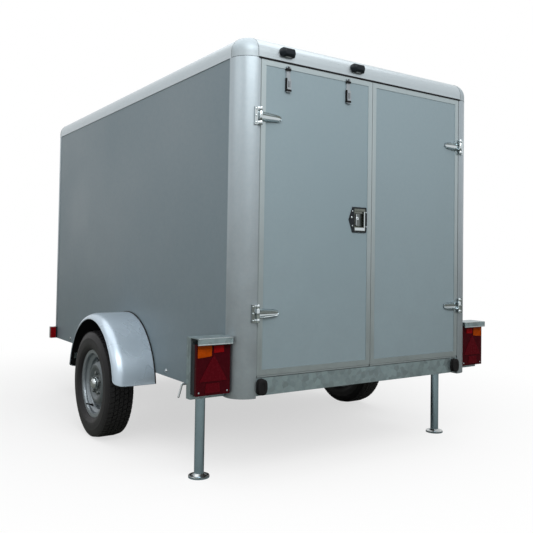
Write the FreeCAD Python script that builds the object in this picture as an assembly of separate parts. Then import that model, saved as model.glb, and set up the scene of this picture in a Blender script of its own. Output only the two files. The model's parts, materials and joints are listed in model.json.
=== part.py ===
"""Single-axle box trailer, standing on its wheels, its jockey wheel and two rear prop stands.

Construction frame: millimetres, +X forward along the drawbar, +Y left, +Z up.  X = 0 is the outer
face of the rear doors, Y = 0 the centre line and Z = 0 the ground.  Every sub-part is shifted at the
end so that the finished part stands centred on its own origin.
"""
import FreeCAD
import Part
import math
import os

V = FreeCAD.Vector
SAME_POINT = 1e-6            # millimetres between points that count as one
MARGIN = 1.0                 # for cuts that pass right through and for picking edges

# ---------------------------------------------------------------- driving dimensions
# box body
BODY_LENGTH = 2670.0
BODY_WIDTH = 1480.0
BODY_LIFT = 97.0             # lower edge of walls and posts above the wheel centres
WALL_HEIGHT = 1483.0         # from that edge to the roof rails
RAIL_FLAT = 26.0             # upright band of a roof rail below its rounding
RAIL_RADIUS = 70.0           # rounding between rail band and roof
CORNER_RADIUS = 87.0         # upright rounding of the corner posts and caps
POST_LEG = 99.0              # width of a corner post on each face
SKIN_LAP = 3.0               # thickness of the profile leg that covers a panel edge
LAP_DEPTH = 20.0             # how far a panel reaches under a profile leg
WALL_THICKNESS = 20.0
FLOOR_THICKNESS = 15.0
INSIDE_CLEARANCE = 2.0       # posts and rails behind a panel's inner face
JAMB_DEPTH = 50.0            # how far the rear posts reach in from the doors
JAMB_WIDTH = 22.0
STOP_WIDTH = 16.0            # door stop standing in from jamb and header
STOP_DEPTH = 12.0
CAP_SKIRT = 12.0             # corner cap's middle below the roof panel
CAP_SLOPE = 45.0

# chassis
SILL_RISE = 86.0             # top of the sill above the body's lower edge
SILL_LIFT = 10.0             # underside of the sill above that edge
SILL_DEPTH = 40.0
SILL_SETBACK = 4.0
STEEL = 3.0                  # wall of the rolled steel sections
SIDE_RAIL_WIDTH = 40.0
CROSS_MEMBER_WIDTH = 40.0
REAR_BAY = 576.0             # between the first two cross members
FRONT_BAY = 580.0            # between the last two
FRONT_MEMBER_INSET = 70.0
DRAWBAR_HEIGHT = 60.0
DRAWBAR_WIDTH = 40.0
DRAWBAR_BEAM_GAP = 99.0      # legs start in front of the axle beam
DRAWBAR_INSET = 100.0        # and inboard of the body's side
DRAWBAR_REACH = 890.0        # nose tube end in front of the body
NOSE_LENGTH = 300.0
NOSE_WIDTH = 60.0
COUPLING_REACH = 150.0       # ball centre in front of the nose tube
BALL_DIAMETER = 50.0
BALL_CLEARANCE = 0.3
COUPLING_WALL = 8.0
COUPLING_NECK_INSET = 6.0    # neck narrower than the nose tube on each side
COUPLING_NECK_LAP = 60.0
COUPLING_NECK_RADIUS = 8.0
COUPLING_NECK_SHARE = 0.6    # neck height over the ball centre, in cup radii
SADDLE_LAP = 150.0
SADDLE_OVERHANG = 40.0
SADDLE_THICKNESS = 10.0
LEVER_WIDTH = 28.0
LEVER_CLEARANCE = 4.7        # between the release lever and the cup
LEVER_TAIL = 100.0           # grip end behind the nose tube's end
LEVER_GRIP = (26.0, 38.0)    # its underside and top over the neck
LEVER_SLANT = 4.0
LEVER_KNEE = (30.0, 22.0)    # bend in front of the nose tube's end, over the neck
LEVER_HEEL = 10.0
LEVER_TIP = 16.0
GLAND_RADIUS = 13.0
GLAND_BORE = 5.0
GLAND_HEIGHT = 22.0
GLAND_INSET = 40.0

# wheels and axle
AXLE_X = 1196.0
TYRE_RADIUS = 288.0
TYRE_WIDTH = 152.0
TYRE_CLEARANCE = 35.0        # tyre outboard of the swing arm
TYRE_WALL = 11.0
TREAD_INSET = 21.0           # flat of the tread inside the sidewall
TREAD_LAYER = 5.0
SHOULDER_DROP = 14.0
SHOULDER_REACH = 12.0
SHOULDER_BULGE = (4.0, 7.0)
BELLY_DROP = 1.0             # widest point below the middle of the sidewall
BEAD_WIDTH = 14.0
RIM_RADIUS = 165.0           # bead seat of a 13 inch rim
RIM_LIP = 17.0               # flange height above the bead seat
RIM_WIDTH = 114.0
RIM_SHEET = 4.0
RIM_SEAT = 22.0              # width of a bead seat with its flange
RIM_FRONT_RAMP = 12.0        # from the outer seat down to the drop centre
RIM_REAR_RAMP = 22.0
RIM_TURN = 1.0               # inner skin's bends nearer the open side
RIM_DROP = 22.0              # depth of the drop centre
RIM_OFFSET = 30.0            # hub face outboard of the rim's middle
DISC_SHEET = 5.0
DISC_CROWN = 30.0            # crown of the disc inside the drop centre
DISC_RISE = 10.0             # crown outboard of the hub face
DISC_FLAT = 16.0             # flat part beyond the bolt circle
DISC_STEP = (28.0, 8.0)      # top of the first step: beyond the bolt circle, outboard
DISC_FOLD = 2.0
DISC_EDGE = (12.0, 18.0)     # front and back of the welded edge behind the hub face
HAND_HOLES = 10
HAND_HOLE_RADIUS = 9.0
PITCH_CIRCLE = 112.0
WHEEL_BOLTS = 5
BOLT_TURN = 0.25             # first bolt, as a share of the spacing
BOLT_RADIUS = 6.0
BOLT_CLEARANCE = 0.5
BOLT_HEAD_RADIUS = 9.0
BOLT_HEAD = 13.0
HUB_RADIUS = 74.0
HUB_BARREL_RADIUS = 40.0
HUB_FLANGE = 12.0
HUB_BACK_CLEARANCE = 16.0    # hub outboard of the swing arm
HUB_CAP_RADIUS = 29.0
HUB_CAP_CLEARANCE = 2.0
HUB_CAP_LENGTH = 34.0
HUB_CAP_ROUND = (20.0, 14.0) # rounding of the cap along and across the axle
HUB_CAP_BULGE = (6.0, 4.0)   # middle of that rounding, from the cap's end and side
BOLT_LAP = 2.0               # bolt shank sunk in the flange
SPINDLE_RADIUS = 17.0
SPINDLE_CLEARANCE = 0.06
SPINDLE_INSET = 8.0          # spindle end behind the hub face
COLLAR_STEP = 9.0
COLLAR_LENGTH = 10.0
BEAM_SIZE = 70.0
ARM_LENGTH = 150.0
ARM_THICKNESS = 28.0
ARM_RADIUS = 34.0
ARM_CLEARANCE = 8.0          # swing arm outboard of the side wall

# mudguards
GUARD_CLEARANCE = 93.0       # over the tyre
GUARD_OVERHANG = 2.0         # lip outboard of the tyre
GUARD_SHOULDER = 32.0
GUARD_SHEET = 4.0
GUARD_END_ANGLE = 6.5        # degrees above the axle's level where the guard ends
STAY_WIDTH_ANGLE = 5.0
STAY_END_ANGLE = 10.0        # stay beyond the guard's end
STAY_SHEET = 5.0

# doors and their fittings
DOOR_THICKNESS = 25.0
DOOR_GAP = 5.0
DOOR_TOP_GAP = 6.0
DOOR_SILL_GAP = 12.0
DOOR_SEAM_Y = -12.0          # middle of the gap between the two doors
DOOR_SEAM = 5.0
DOOR_FRAME_WIDTH = 24.0
DOOR_PANEL_LAP = 12.0        # panel edge inside its frame
DOOR_PANEL_RECESS = 2.0
HINGE_LOW_INSET = 267.0      # lower hinge above the doors' bottom edge
HINGE_HIGH_INSET = 254.0     # upper hinge below their top edge
HINGE_PIN_X = -11.0
HINGE_PIN_OFFSET = 2.0       # pin outboard of the post's edge
HINGE_PIN_RADIUS = 4.0
HINGE_KNUCKLE_RADIUS = 8.0
HINGE_HEIGHT = 78.0
HINGE_KNUCKLE = 44.0
HINGE_KNUCKLE_GAP = 0.5
HINGE_RUNNING_GAP = 0.06
HINGE_PLATE_WIDTH = 20.0
HINGE_PLATE = 5.0
HINGE_PLATE_GAP = 1.0        # plate outboard of the knuckle
HINGE_WEB = (3.0, 8.0, 6.0)  # behind the pin, in front of it and into the plate
HINGE_ARM_LENGTH = 100.0
HINGE_TIP = 10.0
HINGE_TIP_SHARE = 0.6
HINGE_BOW_INSET = 1.0        # bow inside knuckle and door edge
HINGE_BOW_HEEL = (5.0, 6.0)  # from the pin: in front of it and inboard
HINGE_BOW_ROOT = (6.0, 5.0)  # from the pin: behind it and inboard
HINGE_BOW_CROWN = (1.0, 18.0)         # behind the pin, inboard of the door's edge
HINGE_BOW_REACH = 34.0
LOCK_CLEARANCE = 1.5         # lock plate inside the door's edge profile
LOCK_RISE = 698.0            # middle of the lock above the doors' bottom edge
LOCK_WIDTH = 104.0
LOCK_HEIGHT = 122.0
LOCK_POINT = 22.0
LOCK_CUP_DEPTH = 18.0
LOCK_RIM = 9.0
LOCK_SHEET = 2.0
PADDLE_DEPTH = (1.0, 4.0)
PADDLE_SHARE = (0.5, 0.55)   # paddle edge and half height, in half cup sizes
CLIP_INSETS = (139.0, 489.0)          # inboard of the left door's hinge edge
CLIP_WIDTH = 28.0
CLIP_HEIGHT = 118.0
CLIP_TOP_INSET = 11.0
CLIP_DEPTH = 11.0
CLIP_SHEET = 2.0
CLIP_HOOK = 5.0
PLATE_LAMP_INSETS = (138.0, 551.0)    # inboard of the left post's edge
PLATE_LAMP_WIDTH = 86.0
PLATE_LAMP_HEIGHT = 41.0
PLATE_LAMP_FACE = 40.0       # width of the front face between its cheeks
PLATE_LAMP_REACH = 30.0      # behind the rail's upright band
PLATE_LAMP_DROP = 21.0       # underside above the rail's bottom edge
PLATE_LAMP_CHAMFER = 8.0

# lamps, buffers, stands
LAMP_CLEARANCE = 2.0         # lamp outboard of the body's side
LAMP_WIDTH = 162.0
LAMP_LIFT = 26.0             # underside of the lamp above the body's lower edge
LAMP_HEIGHT = 214.0
LAMP_CORNER = 6.0
LAMP_FACE_X = 48.0
LENS_DEPTH = 22.0
HOUSING_DEPTH = 27.0
BRACKET_SHEET = 3.0
BRACKET_DEPTH = 36.0
BRACKET_DROP = 20.0          # bracket below the lamp
HOOD_REACH = 18.0            # hood behind the lamp's face
HOOD_CLEARANCE = 24.0
HOOD_LIP = 26.0
BUFFER_WIDTH = 50.0
BUFFER_HEIGHT = 71.0
BUFFER_CORNER = 22.0
BUFFER_LENGTH = 24.0
BUFFER_FLANGE = 8.0          # thickness of the wider foot against the sill
BUFFER_STEP = 3.0            # foot standing out round the body
BUFFER_CLEARANCE = 1.0       # between the foot and the post's edge
STAND_X = 272.0
STAND_STANDOFF = 5.5         # tube outboard of the side wall
STAND_RADIUS = 22.5
STAND_ABOVE_CLAMP = 148.0
STAND_FOOT_REACH = 25.5      # foot plate round the tube
STAND_FOOT = 6.0
STAND_WALL = 3.0
CLAMP_WALL = 6.0
CLAMP_CLEARANCE = 0.3
CLAMP_HEIGHT = 56.0
CLAMP_LIFT = 11.0            # clamp above the body's lower edge
CLAMP_WING = 12.0
CLAMP_PLATE = 5.0
CLAMP_BOSS_RADIUS = 9.0
CLAMP_BOSS = 12.0            # boss standing out from the ring
HANDLE_RADIUS = 5.0
HANDLE_REACH = 52.0          # bent rod out from the boss, then down
HANDLE_DROP = 54.0
HANDLE_SPLAY = 16.0
MARKER_INSET = 70.0          # front edge behind the body's front
MARKER_LIFT = 1.0
MARKER_SIZE = (42.0, 44.0, 82.0)

# jockey wheel
JOCKEY_SETBACK = 120.0       # behind the nose tube's end
JOCKEY_TUBE_RADIUS = 24.0
JOCKEY_TUBE_WALL = 3.2
JOCKEY_TUBE_RISE = 305.0     # tube top above the drawbar
JOCKEY_STEM_DROP = 130.0     # stem top below the tube top
JOCKEY_STOP_GAP = 6.0        # tube above fork with the screw wound right in
JOCKEY_STANDOFF = 16.0
JOCKEY_CAP = (3.0, 14.0)     # cap out round the tube and its height
JOCKEY_SPINDLE_RADIUS = 8.0
JOCKEY_SPINDLE = 40.0
JOCKEY_CRANK_RADIUS = 7.0
JOCKEY_CRANK_RISE = 34.0
JOCKEY_CRANK_REACH = 150.0
JOCKEY_GRIP_RADIUS = 14.0
JOCKEY_GRIP_LENGTH = 90.0
JOCKEY_GRIP_LAP = 8.0
JOCKEY_CLAMP_INSET = 4.0     # clamp inside the drawbar's height
JOCKEY_CLAMP_HALF = 26.0
JOCKEY_BOSS_RADIUS = 10.0
JOCKEY_BOSS = 18.0
JOCKEY_BAR = (5.0, 90.0)     # clamp bar radius and length
JOCKEY_BAR_INSET = 4.0
JOCKEY_WHEEL_RADIUS = 100.0
JOCKEY_WHEEL_WIDTH = 50.0
JOCKEY_HUB_RADIUS = 30.0
JOCKEY_WEB_INSET = 12.0
JOCKEY_WEB_STEP = 4.0
JOCKEY_TREAD_DEPTH = 26.0
JOCKEY_SHOULDER = 14.0
JOCKEY_BULGE = 4.0           # middle of the rounded shoulder
JOCKEY_TRAIL = 38.0
JOCKEY_FORK_GAP = 5.0
JOCKEY_FORK_RISE = 22.0      # fork top above the wheel
JOCKEY_FORK_SPAN = (62.0, 30.0)       # fork plate behind and in front of the tube
JOCKEY_EYE = (20.0, 8.0, 26.0)        # eye half width, shoulder drop and end drop
JOCKEY_SWIVEL_GAP = 0.3
JOCKEY_FORK_SHEET = 5.0
JOCKEY_AXLE_RADIUS = 6.0

# ---------------------------------------------------------------- derived values
HALF_WIDTH = BODY_WIDTH / 2
WHEEL_Z = TYRE_RADIUS
BODY_BOTTOM = WHEEL_Z + BODY_LIFT
RAIL_BOTTOM = BODY_BOTTOM + WALL_HEIGHT
WALL_OUTER_Y = HALF_WIDTH - SKIN_LAP
WALL_INNER_Y = WALL_OUTER_Y - WALL_THICKNESS
POST_INNER_Y = WALL_INNER_Y - INSIDE_CLEARANCE
BAND_TOP = RAIL_BOTTOM + RAIL_FLAT
ROOF_TOP = BAND_TOP + RAIL_RADIUS
ROOF_PANEL_TOP = ROOF_TOP - SKIN_LAP
ROOF_PANEL_BOTTOM = ROOF_PANEL_TOP - WALL_THICKNESS
WALL_TOP = RAIL_BOTTOM + LAP_DEPTH
WALL_START = POST_LEG - LAP_DEPTH            # panel edge behind a post's leg
RAIL_WIDTH = CORNER_RADIUS
ROOF_START = RAIL_WIDTH - LAP_DEPTH
POST_EDGE_Y = HALF_WIDTH - POST_LEG
SILL_TOP = BODY_BOTTOM + SILL_RISE
SILL_BOTTOM = BODY_BOTTOM + SILL_LIFT
FLOOR_TOP = SILL_TOP
FLOOR_BOTTOM = FLOOR_TOP - FLOOR_THICKNESS
SIDE_RAIL_INNER_Y = WALL_INNER_Y - SIDE_RAIL_WIDTH
SILL_FRONT = SILL_SETBACK + SILL_DEPTH
FRONT_WALL_OUTER_X = BODY_LENGTH - SKIN_LAP
FRONT_WALL_INNER_X = FRONT_WALL_OUTER_X - WALL_THICKNESS
BEAM_TOP = BODY_BOTTOM
BEAM_Z = BEAM_TOP - BEAM_SIZE / 2
BEAM_X = AXLE_X + ARM_LENGTH
FIRST_MEMBER = SILL_FRONT + CROSS_MEMBER_WIDTH / 2
LAST_MEMBER = BODY_LENGTH - FRONT_MEMBER_INSET
CROSS_MEMBER_PLACES = (FIRST_MEMBER, FIRST_MEMBER + REAR_BAY, BEAM_X, LAST_MEMBER - FRONT_BAY, LAST_MEMBER)
DRAWBAR_TOP = BODY_BOTTOM
DRAWBAR_BOTTOM = DRAWBAR_TOP - DRAWBAR_HEIGHT
DRAWBAR_START_X = BEAM_X + BEAM_SIZE / 2 + DRAWBAR_BEAM_GAP
DRAWBAR_START_Y = HALF_WIDTH - DRAWBAR_INSET
NOSE_END_X = BODY_LENGTH + DRAWBAR_REACH
NOSE_START_X = NOSE_END_X - NOSE_LENGTH
BALL_X = NOSE_END_X + COUPLING_REACH
SOCKET_RADIUS = BALL_DIAMETER / 2 + BALL_CLEARANCE
COUPLING_RADIUS = SOCKET_RADIUS + COUPLING_WALL
BALL_Z = DRAWBAR_TOP + COUPLING_RADIUS
NECK_TOP = BALL_Z + COUPLING_RADIUS * COUPLING_NECK_SHARE
ARM_INNER_Y = WALL_OUTER_Y + ARM_CLEARANCE
ARM_OUTER_Y = ARM_INNER_Y + ARM_THICKNESS
WHEEL_CENTRE_Y = ARM_OUTER_Y + TYRE_CLEARANCE + TYRE_WIDTH / 2
HUB_FACE_Y = WHEEL_CENTRE_Y + RIM_OFFSET
RIM_DROP_RADIUS = RIM_RADIUS - RIM_DROP
DISC_CROWN_RADIUS = RIM_DROP_RADIUS - DISC_CROWN
HAND_HOLE_CIRCLE = (DISC_CROWN_RADIUS + RIM_DROP_RADIUS - RIM_SHEET) / 2
GUARD_RADIUS = TYRE_RADIUS + GUARD_CLEARANCE + GUARD_SHEET
GUARD_OUTER_Y = WHEEL_CENTRE_Y + TYRE_WIDTH / 2 + GUARD_OVERHANG
HINGE_PIN_Y = POST_EDGE_Y + HINGE_PIN_OFFSET
DOOR_EDGE_Y = POST_EDGE_Y - DOOR_GAP
DOOR_BOTTOM = SILL_TOP + DOOR_SILL_GAP
DOOR_TOP = RAIL_BOTTOM - DOOR_TOP_GAP
HINGE_HEIGHTS = (DOOR_BOTTOM + HINGE_LOW_INSET, DOOR_TOP - HINGE_HIGH_INSET)
LEFT_DOOR_LOW_Y = DOOR_SEAM_Y + DOOR_SEAM / 2
LOCK_Y = LEFT_DOOR_LOW_Y + DOOR_FRAME_WIDTH + LOCK_CLEARANCE + LOCK_WIDTH / 2
LOCK_Z = DOOR_BOTTOM + LOCK_RISE
CLIP_TOP = DOOR_TOP - CLIP_TOP_INSET
LAMP_INNER_Y = HALF_WIDTH + LAMP_CLEARANCE
LAMP_OUTER_Y = LAMP_INNER_Y + LAMP_WIDTH
LAMP_BOTTOM = BODY_BOTTOM + LAMP_LIFT
LAMP_TOP = LAMP_BOTTOM + LAMP_HEIGHT
HOUSING_X = LAMP_FACE_X + LENS_DEPTH
BRACKET_X = HOUSING_X + HOUSING_DEPTH
BRACKET_BOTTOM = LAMP_BOTTOM - BRACKET_DROP
HOOD_TOP = LAMP_TOP + HOOD_CLEARANCE
BUFFER_Y = POST_EDGE_Y - BUFFER_CLEARANCE - BUFFER_WIDTH / 2
STAND_Y = WALL_OUTER_Y + STAND_STANDOFF + STAND_RADIUS
STAND_FOOT_RADIUS = STAND_RADIUS + STAND_FOOT_REACH
CLAMP_BOTTOM = BODY_BOTTOM + CLAMP_LIFT
CLAMP_TOP = CLAMP_BOTTOM + CLAMP_HEIGHT
STAND_TOP = CLAMP_TOP + STAND_ABOVE_CLAMP
MARKER_X = BODY_LENGTH - MARKER_INSET
MARKER_BOTTOM = BODY_BOTTOM + MARKER_LIFT
JOCKEY_X = NOSE_END_X - JOCKEY_SETBACK
JOCKEY_WHEEL_X = JOCKEY_X - JOCKEY_TRAIL
JOCKEY_STEM_RADIUS = JOCKEY_TUBE_RADIUS - JOCKEY_TUBE_WALL - CLAMP_CLEARANCE
JOCKEY_TUBE_TOP = DRAWBAR_TOP + JOCKEY_TUBE_RISE
JOCKEY_STEM_TOP = JOCKEY_TUBE_TOP - JOCKEY_STEM_DROP
FORK_TOP = 2 * JOCKEY_WHEEL_RADIUS + JOCKEY_FORK_RISE
FORK_HALF_GAP = JOCKEY_WHEEL_WIDTH / 2 + JOCKEY_FORK_GAP
JOCKEY_TUBE_BOTTOM = FORK_TOP + JOCKEY_STOP_GAP
FRONT_REACH = BALL_X + COUPLING_RADIUS
REAR_REACH = -PLATE_LAMP_REACH
ORIGIN_X = (FRONT_REACH + REAR_REACH) / 2


# ---------------------------------------------------------------- shape helpers
def box(x0, x1, y0, y1, z0, z1):
    """A block between two corners."""
    return Part.makeBox(x1 - x0, y1 - y0, z1 - z0, V(x0, y0, z0))


def cylinder(radius, start, along, length):
    """A round bar from a start point along a direction."""
    return Part.makeCylinder(radius, length, V(*start), V(*along))


def tube(outer, inner, start, along, length):
    """A round bar with a bore right through."""
    return cylinder(outer, start, along, length).cut(cylinder(inner, start, along, length))


def face_from(points, plane):
    """A planar face from 2-D points; a point given as a pair of pairs is an arc's middle and end."""
    def place(p):
        if plane == "xy":
            return V(p[0], p[1], 0)
        if plane == "xz":
            return V(p[0], 0, p[1])
        return V(0, p[0], p[1])
    edges = []
    here = points[0]
    for step in list(points[1:]) + [points[0]]:
        if isinstance(step[0], tuple):
            edges.append(Part.Arc(place(here), place(step[0]), place(step[1])).toShape())
            here = step[1]
        elif math.dist(here, step) > SAME_POINT:
            edges.append(Part.LineSegment(place(here), place(step)).toShape())
            here = step
    return Part.Face(Part.Wire(edges))


def prism(points, plane, start, end):
    """An outline in a plane, drawn out along that plane's normal between two values."""
    face = face_from(points, plane)
    normal = {"xy": V(0, 0, 1), "xz": V(0, 1, 0), "yz": V(1, 0, 0)}[plane]
    face.translate(normal * start)
    return face.extrude(normal * (end - start))


def spin(points, plane, origin, axis, angle=360.0):
    """An outline turned about an axis."""
    return face_from(points, plane).revolve(V(*origin), V(*axis), angle)


def mirrored(shape):
    """The same shape on the other side of the centre line."""
    return shape.mirror(V(0, 0, 0), V(0, 1, 0))


def both_sides(shape):
    """A left-hand shape and its right-hand twin."""
    return [shape, mirrored(shape)]


def arc_corner(centre, radius, start_angle, end_angle):
    """The middle and end of an arc, as a step for an outline."""
    middle = math.radians((start_angle + end_angle) / 2)
    end = math.radians(end_angle)
    return ((centre[0] + radius * math.cos(middle), centre[1] + radius * math.sin(middle)),
            (centre[0] + radius * math.cos(end), centre[1] + radius * math.sin(end)))


def along_x(shape):
    """The edges of a block that run along X."""
    return [edge for edge in shape.Edges if abs(edge.tangentAt(0).x) > 0.99]


def largest(shape):
    """The biggest solid that a cut leaves."""
    return max(shape.Solids, key=lambda solid: solid.Volume)


def save(name, shapes):
    """Write one node: its solids, moved to the part's own origin."""
    solids = []
    for shape in shapes if isinstance(shapes, list) else [shapes]:
        solids.extend(shape.Solids)
    for solid in solids:
        solid.translate(V(-ORIGIN_X, 0, 0))
    node = solids[0] if len(solids) == 1 else Part.makeCompound(solids)
    node.exportStep("parts/" + name + ".step")
    print(name, len(solids), "solid(s), valid" if node.isValid() else "solid(s), NOT VALID")


# ---------------------------------------------------------------- chassis
def side_rails():
    """Channel-section longitudinals, open towards the middle, that carry floor and walls."""
    rear = CROSS_MEMBER_PLACES[0]
    front = FRONT_WALL_INNER_X
    outer = box(rear, front, SIDE_RAIL_INNER_Y, WALL_INNER_Y, BODY_BOTTOM, FLOOR_BOTTOM)
    hollow = box(rear, front, SIDE_RAIL_INNER_Y, WALL_INNER_Y - STEEL,
                 BODY_BOTTOM + STEEL, FLOOR_BOTTOM - STEEL)
    posts = Part.makeCompound([rear_post(), front_post()])
    return both_sides(largest(outer.cut(hollow).cut(posts)))


def cross_members():
    """Channel sections between the longitudinals, under the floor."""
    members = []
    for place in CROSS_MEMBER_PLACES:
        low = place - CROSS_MEMBER_WIDTH / 2
        high = place + CROSS_MEMBER_WIDTH / 2
        outer = box(low, high, -SIDE_RAIL_INNER_Y, SIDE_RAIL_INNER_Y, BODY_BOTTOM, FLOOR_BOTTOM)
        hollow = box(low + STEEL, high, -SIDE_RAIL_INNER_Y, SIDE_RAIL_INNER_Y,
                     BODY_BOTTOM + STEEL, FLOOR_BOTTOM - STEEL)
        member = outer.cut(hollow)
        if low < POST_LEG:
            member = largest(member.cut(Part.makeCompound(both_sides(rear_post()))))
        members.append(member)
    return members


def rear_sill():
    """Galvanised channel across the rear, its web facing backwards below the doors."""
    outer = box(SILL_SETBACK, SILL_FRONT, -POST_EDGE_Y, POST_EDGE_Y, SILL_BOTTOM, SILL_TOP)
    hollow = box(SILL_SETBACK + STEEL, SILL_FRONT, -POST_EDGE_Y, POST_EDGE_Y,
                 SILL_BOTTOM + STEEL, SILL_TOP - STEEL)
    return outer.cut(hollow)


def drawbar_angle():
    """The angle of a drawbar leg away from straight ahead."""
    return math.atan2(DRAWBAR_START_Y - NOSE_WIDTH / 2, NOSE_END_X - DRAWBAR_START_X)


def drawbar_centre_y(x):
    """Where the left leg's middle lies at a station along the trailer."""
    return DRAWBAR_START_Y - (x - DRAWBAR_START_X) * math.tan(drawbar_angle())


def drawbar_prism(half_width, low, high, x0, x1):
    """One straight leg of the drawbar, its ends cut square to the trailer."""
    half = half_width / math.cos(drawbar_angle())
    outline = [(x0, drawbar_centre_y(x0) - half), (x1, drawbar_centre_y(x1) - half),
               (x1, drawbar_centre_y(x1) + half), (x0, drawbar_centre_y(x0) + half)]
    return prism(outline, "xy", low, high)


def nose_block():
    """The outside of the nose tube."""
    return box(NOSE_START_X, NOSE_END_X, -NOSE_WIDTH / 2, NOSE_WIDTH / 2, DRAWBAR_BOTTOM, DRAWBAR_TOP)


def drawbar_legs():
    """Two box tubes that run from under the longitudinals to the nose."""
    outer = drawbar_prism(DRAWBAR_WIDTH / 2, DRAWBAR_BOTTOM, DRAWBAR_TOP, DRAWBAR_START_X, NOSE_END_X)
    bore = drawbar_prism(DRAWBAR_WIDTH / 2 - STEEL, DRAWBAR_BOTTOM + STEEL, DRAWBAR_TOP - STEEL,
                         DRAWBAR_START_X, NOSE_END_X)
    leg = outer.cut(bore).cut(nose_block())
    return both_sides(largest(leg))


def drawbar_nose():
    """Box tube between the legs that carries the coupling."""
    bore = box(NOSE_START_X, NOSE_END_X, -NOSE_WIDTH / 2 + STEEL, NOSE_WIDTH / 2 - STEEL,
               DRAWBAR_BOTTOM + STEEL, DRAWBAR_TOP - STEEL)
    return nose_block().cut(bore)


def coupling_head():
    """Pressed ball coupling: a saddle bolted on the nose tube and a cup open downwards for the ball."""
    neck_half = NOSE_WIDTH / 2 - COUPLING_NECK_INSET
    saddle = box(NOSE_END_X - SADDLE_LAP, NOSE_END_X + SADDLE_OVERHANG, -NOSE_WIDTH / 2, NOSE_WIDTH / 2,
                 DRAWBAR_TOP, DRAWBAR_TOP + SADDLE_THICKNESS)
    neck = box(NOSE_END_X - COUPLING_NECK_LAP, BALL_X, -neck_half, neck_half, DRAWBAR_TOP, NECK_TOP)
    upper = [edge for edge in along_x(neck) if edge.BoundBox.ZMin > DRAWBAR_TOP + MARGIN]
    neck = neck.makeFillet(COUPLING_NECK_RADIUS, upper)
    dome = Part.makeSphere(COUPLING_RADIUS, V(BALL_X, 0, BALL_Z))
    skirt = cylinder(COUPLING_RADIUS, (BALL_X, 0, DRAWBAR_TOP), (0, 0, 1), COUPLING_RADIUS)
    cup = cylinder(SOCKET_RADIUS, (BALL_X, 0, DRAWBAR_TOP), (0, 0, 1), BALL_Z - DRAWBAR_TOP)
    cup = cup.fuse(Part.makeSphere(SOCKET_RADIUS, V(BALL_X, 0, BALL_Z)))
    return saddle.fuse(neck).fuse(dome).fuse(skirt).cut(cup).removeSplitter()


def coupling_handle():
    """Release lever lying along the top of the coupling."""
    tail = NOSE_END_X - LEVER_TAIL
    front = BALL_X - COUPLING_RADIUS - LEVER_CLEARANCE
    outline = [(tail, NECK_TOP + LEVER_GRIP[0]), (tail + LEVER_SLANT, NECK_TOP + LEVER_GRIP[1]),
               (NOSE_END_X + LEVER_KNEE[0], NECK_TOP + LEVER_KNEE[1]), (front, NECK_TOP + LEVER_TIP),
               (front, NECK_TOP), (NOSE_END_X + LEVER_HEEL, NECK_TOP)]
    return prism(outline, "xz", -LEVER_WIDTH / 2, LEVER_WIDTH / 2)


# ---------------------------------------------------------------- axle
def axle_beam():
    """Square tube of the rubber-sprung axle, seated under both longitudinals."""
    low = BEAM_X - BEAM_SIZE / 2
    high = BEAM_X + BEAM_SIZE / 2
    outer = box(low, high, -ARM_INNER_Y, ARM_INNER_Y, BEAM_TOP - BEAM_SIZE, BEAM_TOP)
    bore = box(low + STEEL, high - STEEL, -ARM_INNER_Y, ARM_INNER_Y,
               BEAM_TOP - BEAM_SIZE + STEEL, BEAM_TOP - STEEL)
    return outer.cut(bore)


def swing_arms():
    """Trailing arms that carry the stub axles."""
    pivot = (BEAM_X, ARM_INNER_Y, BEAM_Z)
    wheel = (AXLE_X, ARM_INNER_Y, WHEEL_Z)
    dx = wheel[0] - pivot[0]
    dz = wheel[2] - pivot[2]
    length = math.hypot(dx, dz)
    nx = -dz / length * ARM_RADIUS
    nz = dx / length * ARM_RADIUS
    web = prism([(pivot[0] + nx, pivot[2] + nz), (wheel[0] + nx, wheel[2] + nz),
                 (wheel[0] - nx, wheel[2] - nz), (pivot[0] - nx, pivot[2] - nz)],
                "xz", ARM_INNER_Y, ARM_OUTER_Y)
    arm = web.fuse(cylinder(ARM_RADIUS, pivot, (0, 1, 0), ARM_THICKNESS))
    arm = arm.fuse(cylinder(ARM_RADIUS, wheel, (0, 1, 0), ARM_THICKNESS))
    spindle = cylinder(SPINDLE_RADIUS, wheel, (0, 1, 0), HUB_FACE_Y - SPINDLE_INSET - ARM_INNER_Y)
    collar = cylinder(SPINDLE_RADIUS + COLLAR_STEP, wheel, (0, 1, 0), ARM_THICKNESS + COLLAR_LENGTH)
    return both_sides(arm.fuse(collar).fuse(spindle).removeSplitter())


# ---------------------------------------------------------------- wheels
def about_axle(points):
    """A wheel section, given as (distance from the axle, distance outboard), turned about the axle."""
    outline = []
    for step in points:
        if isinstance(step[0], tuple):
            outline.append(tuple((p[1] + WHEEL_CENTRE_Y, p[0] + WHEEL_Z) for p in step))
        else:
            outline.append((step[1] + WHEEL_CENTRE_Y, step[0] + WHEEL_Z))
    solid = spin(outline, "yz", (0, 0, WHEEL_Z), (0, 1, 0))
    solid.translate(V(AXLE_X, 0, 0))
    return solid


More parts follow.
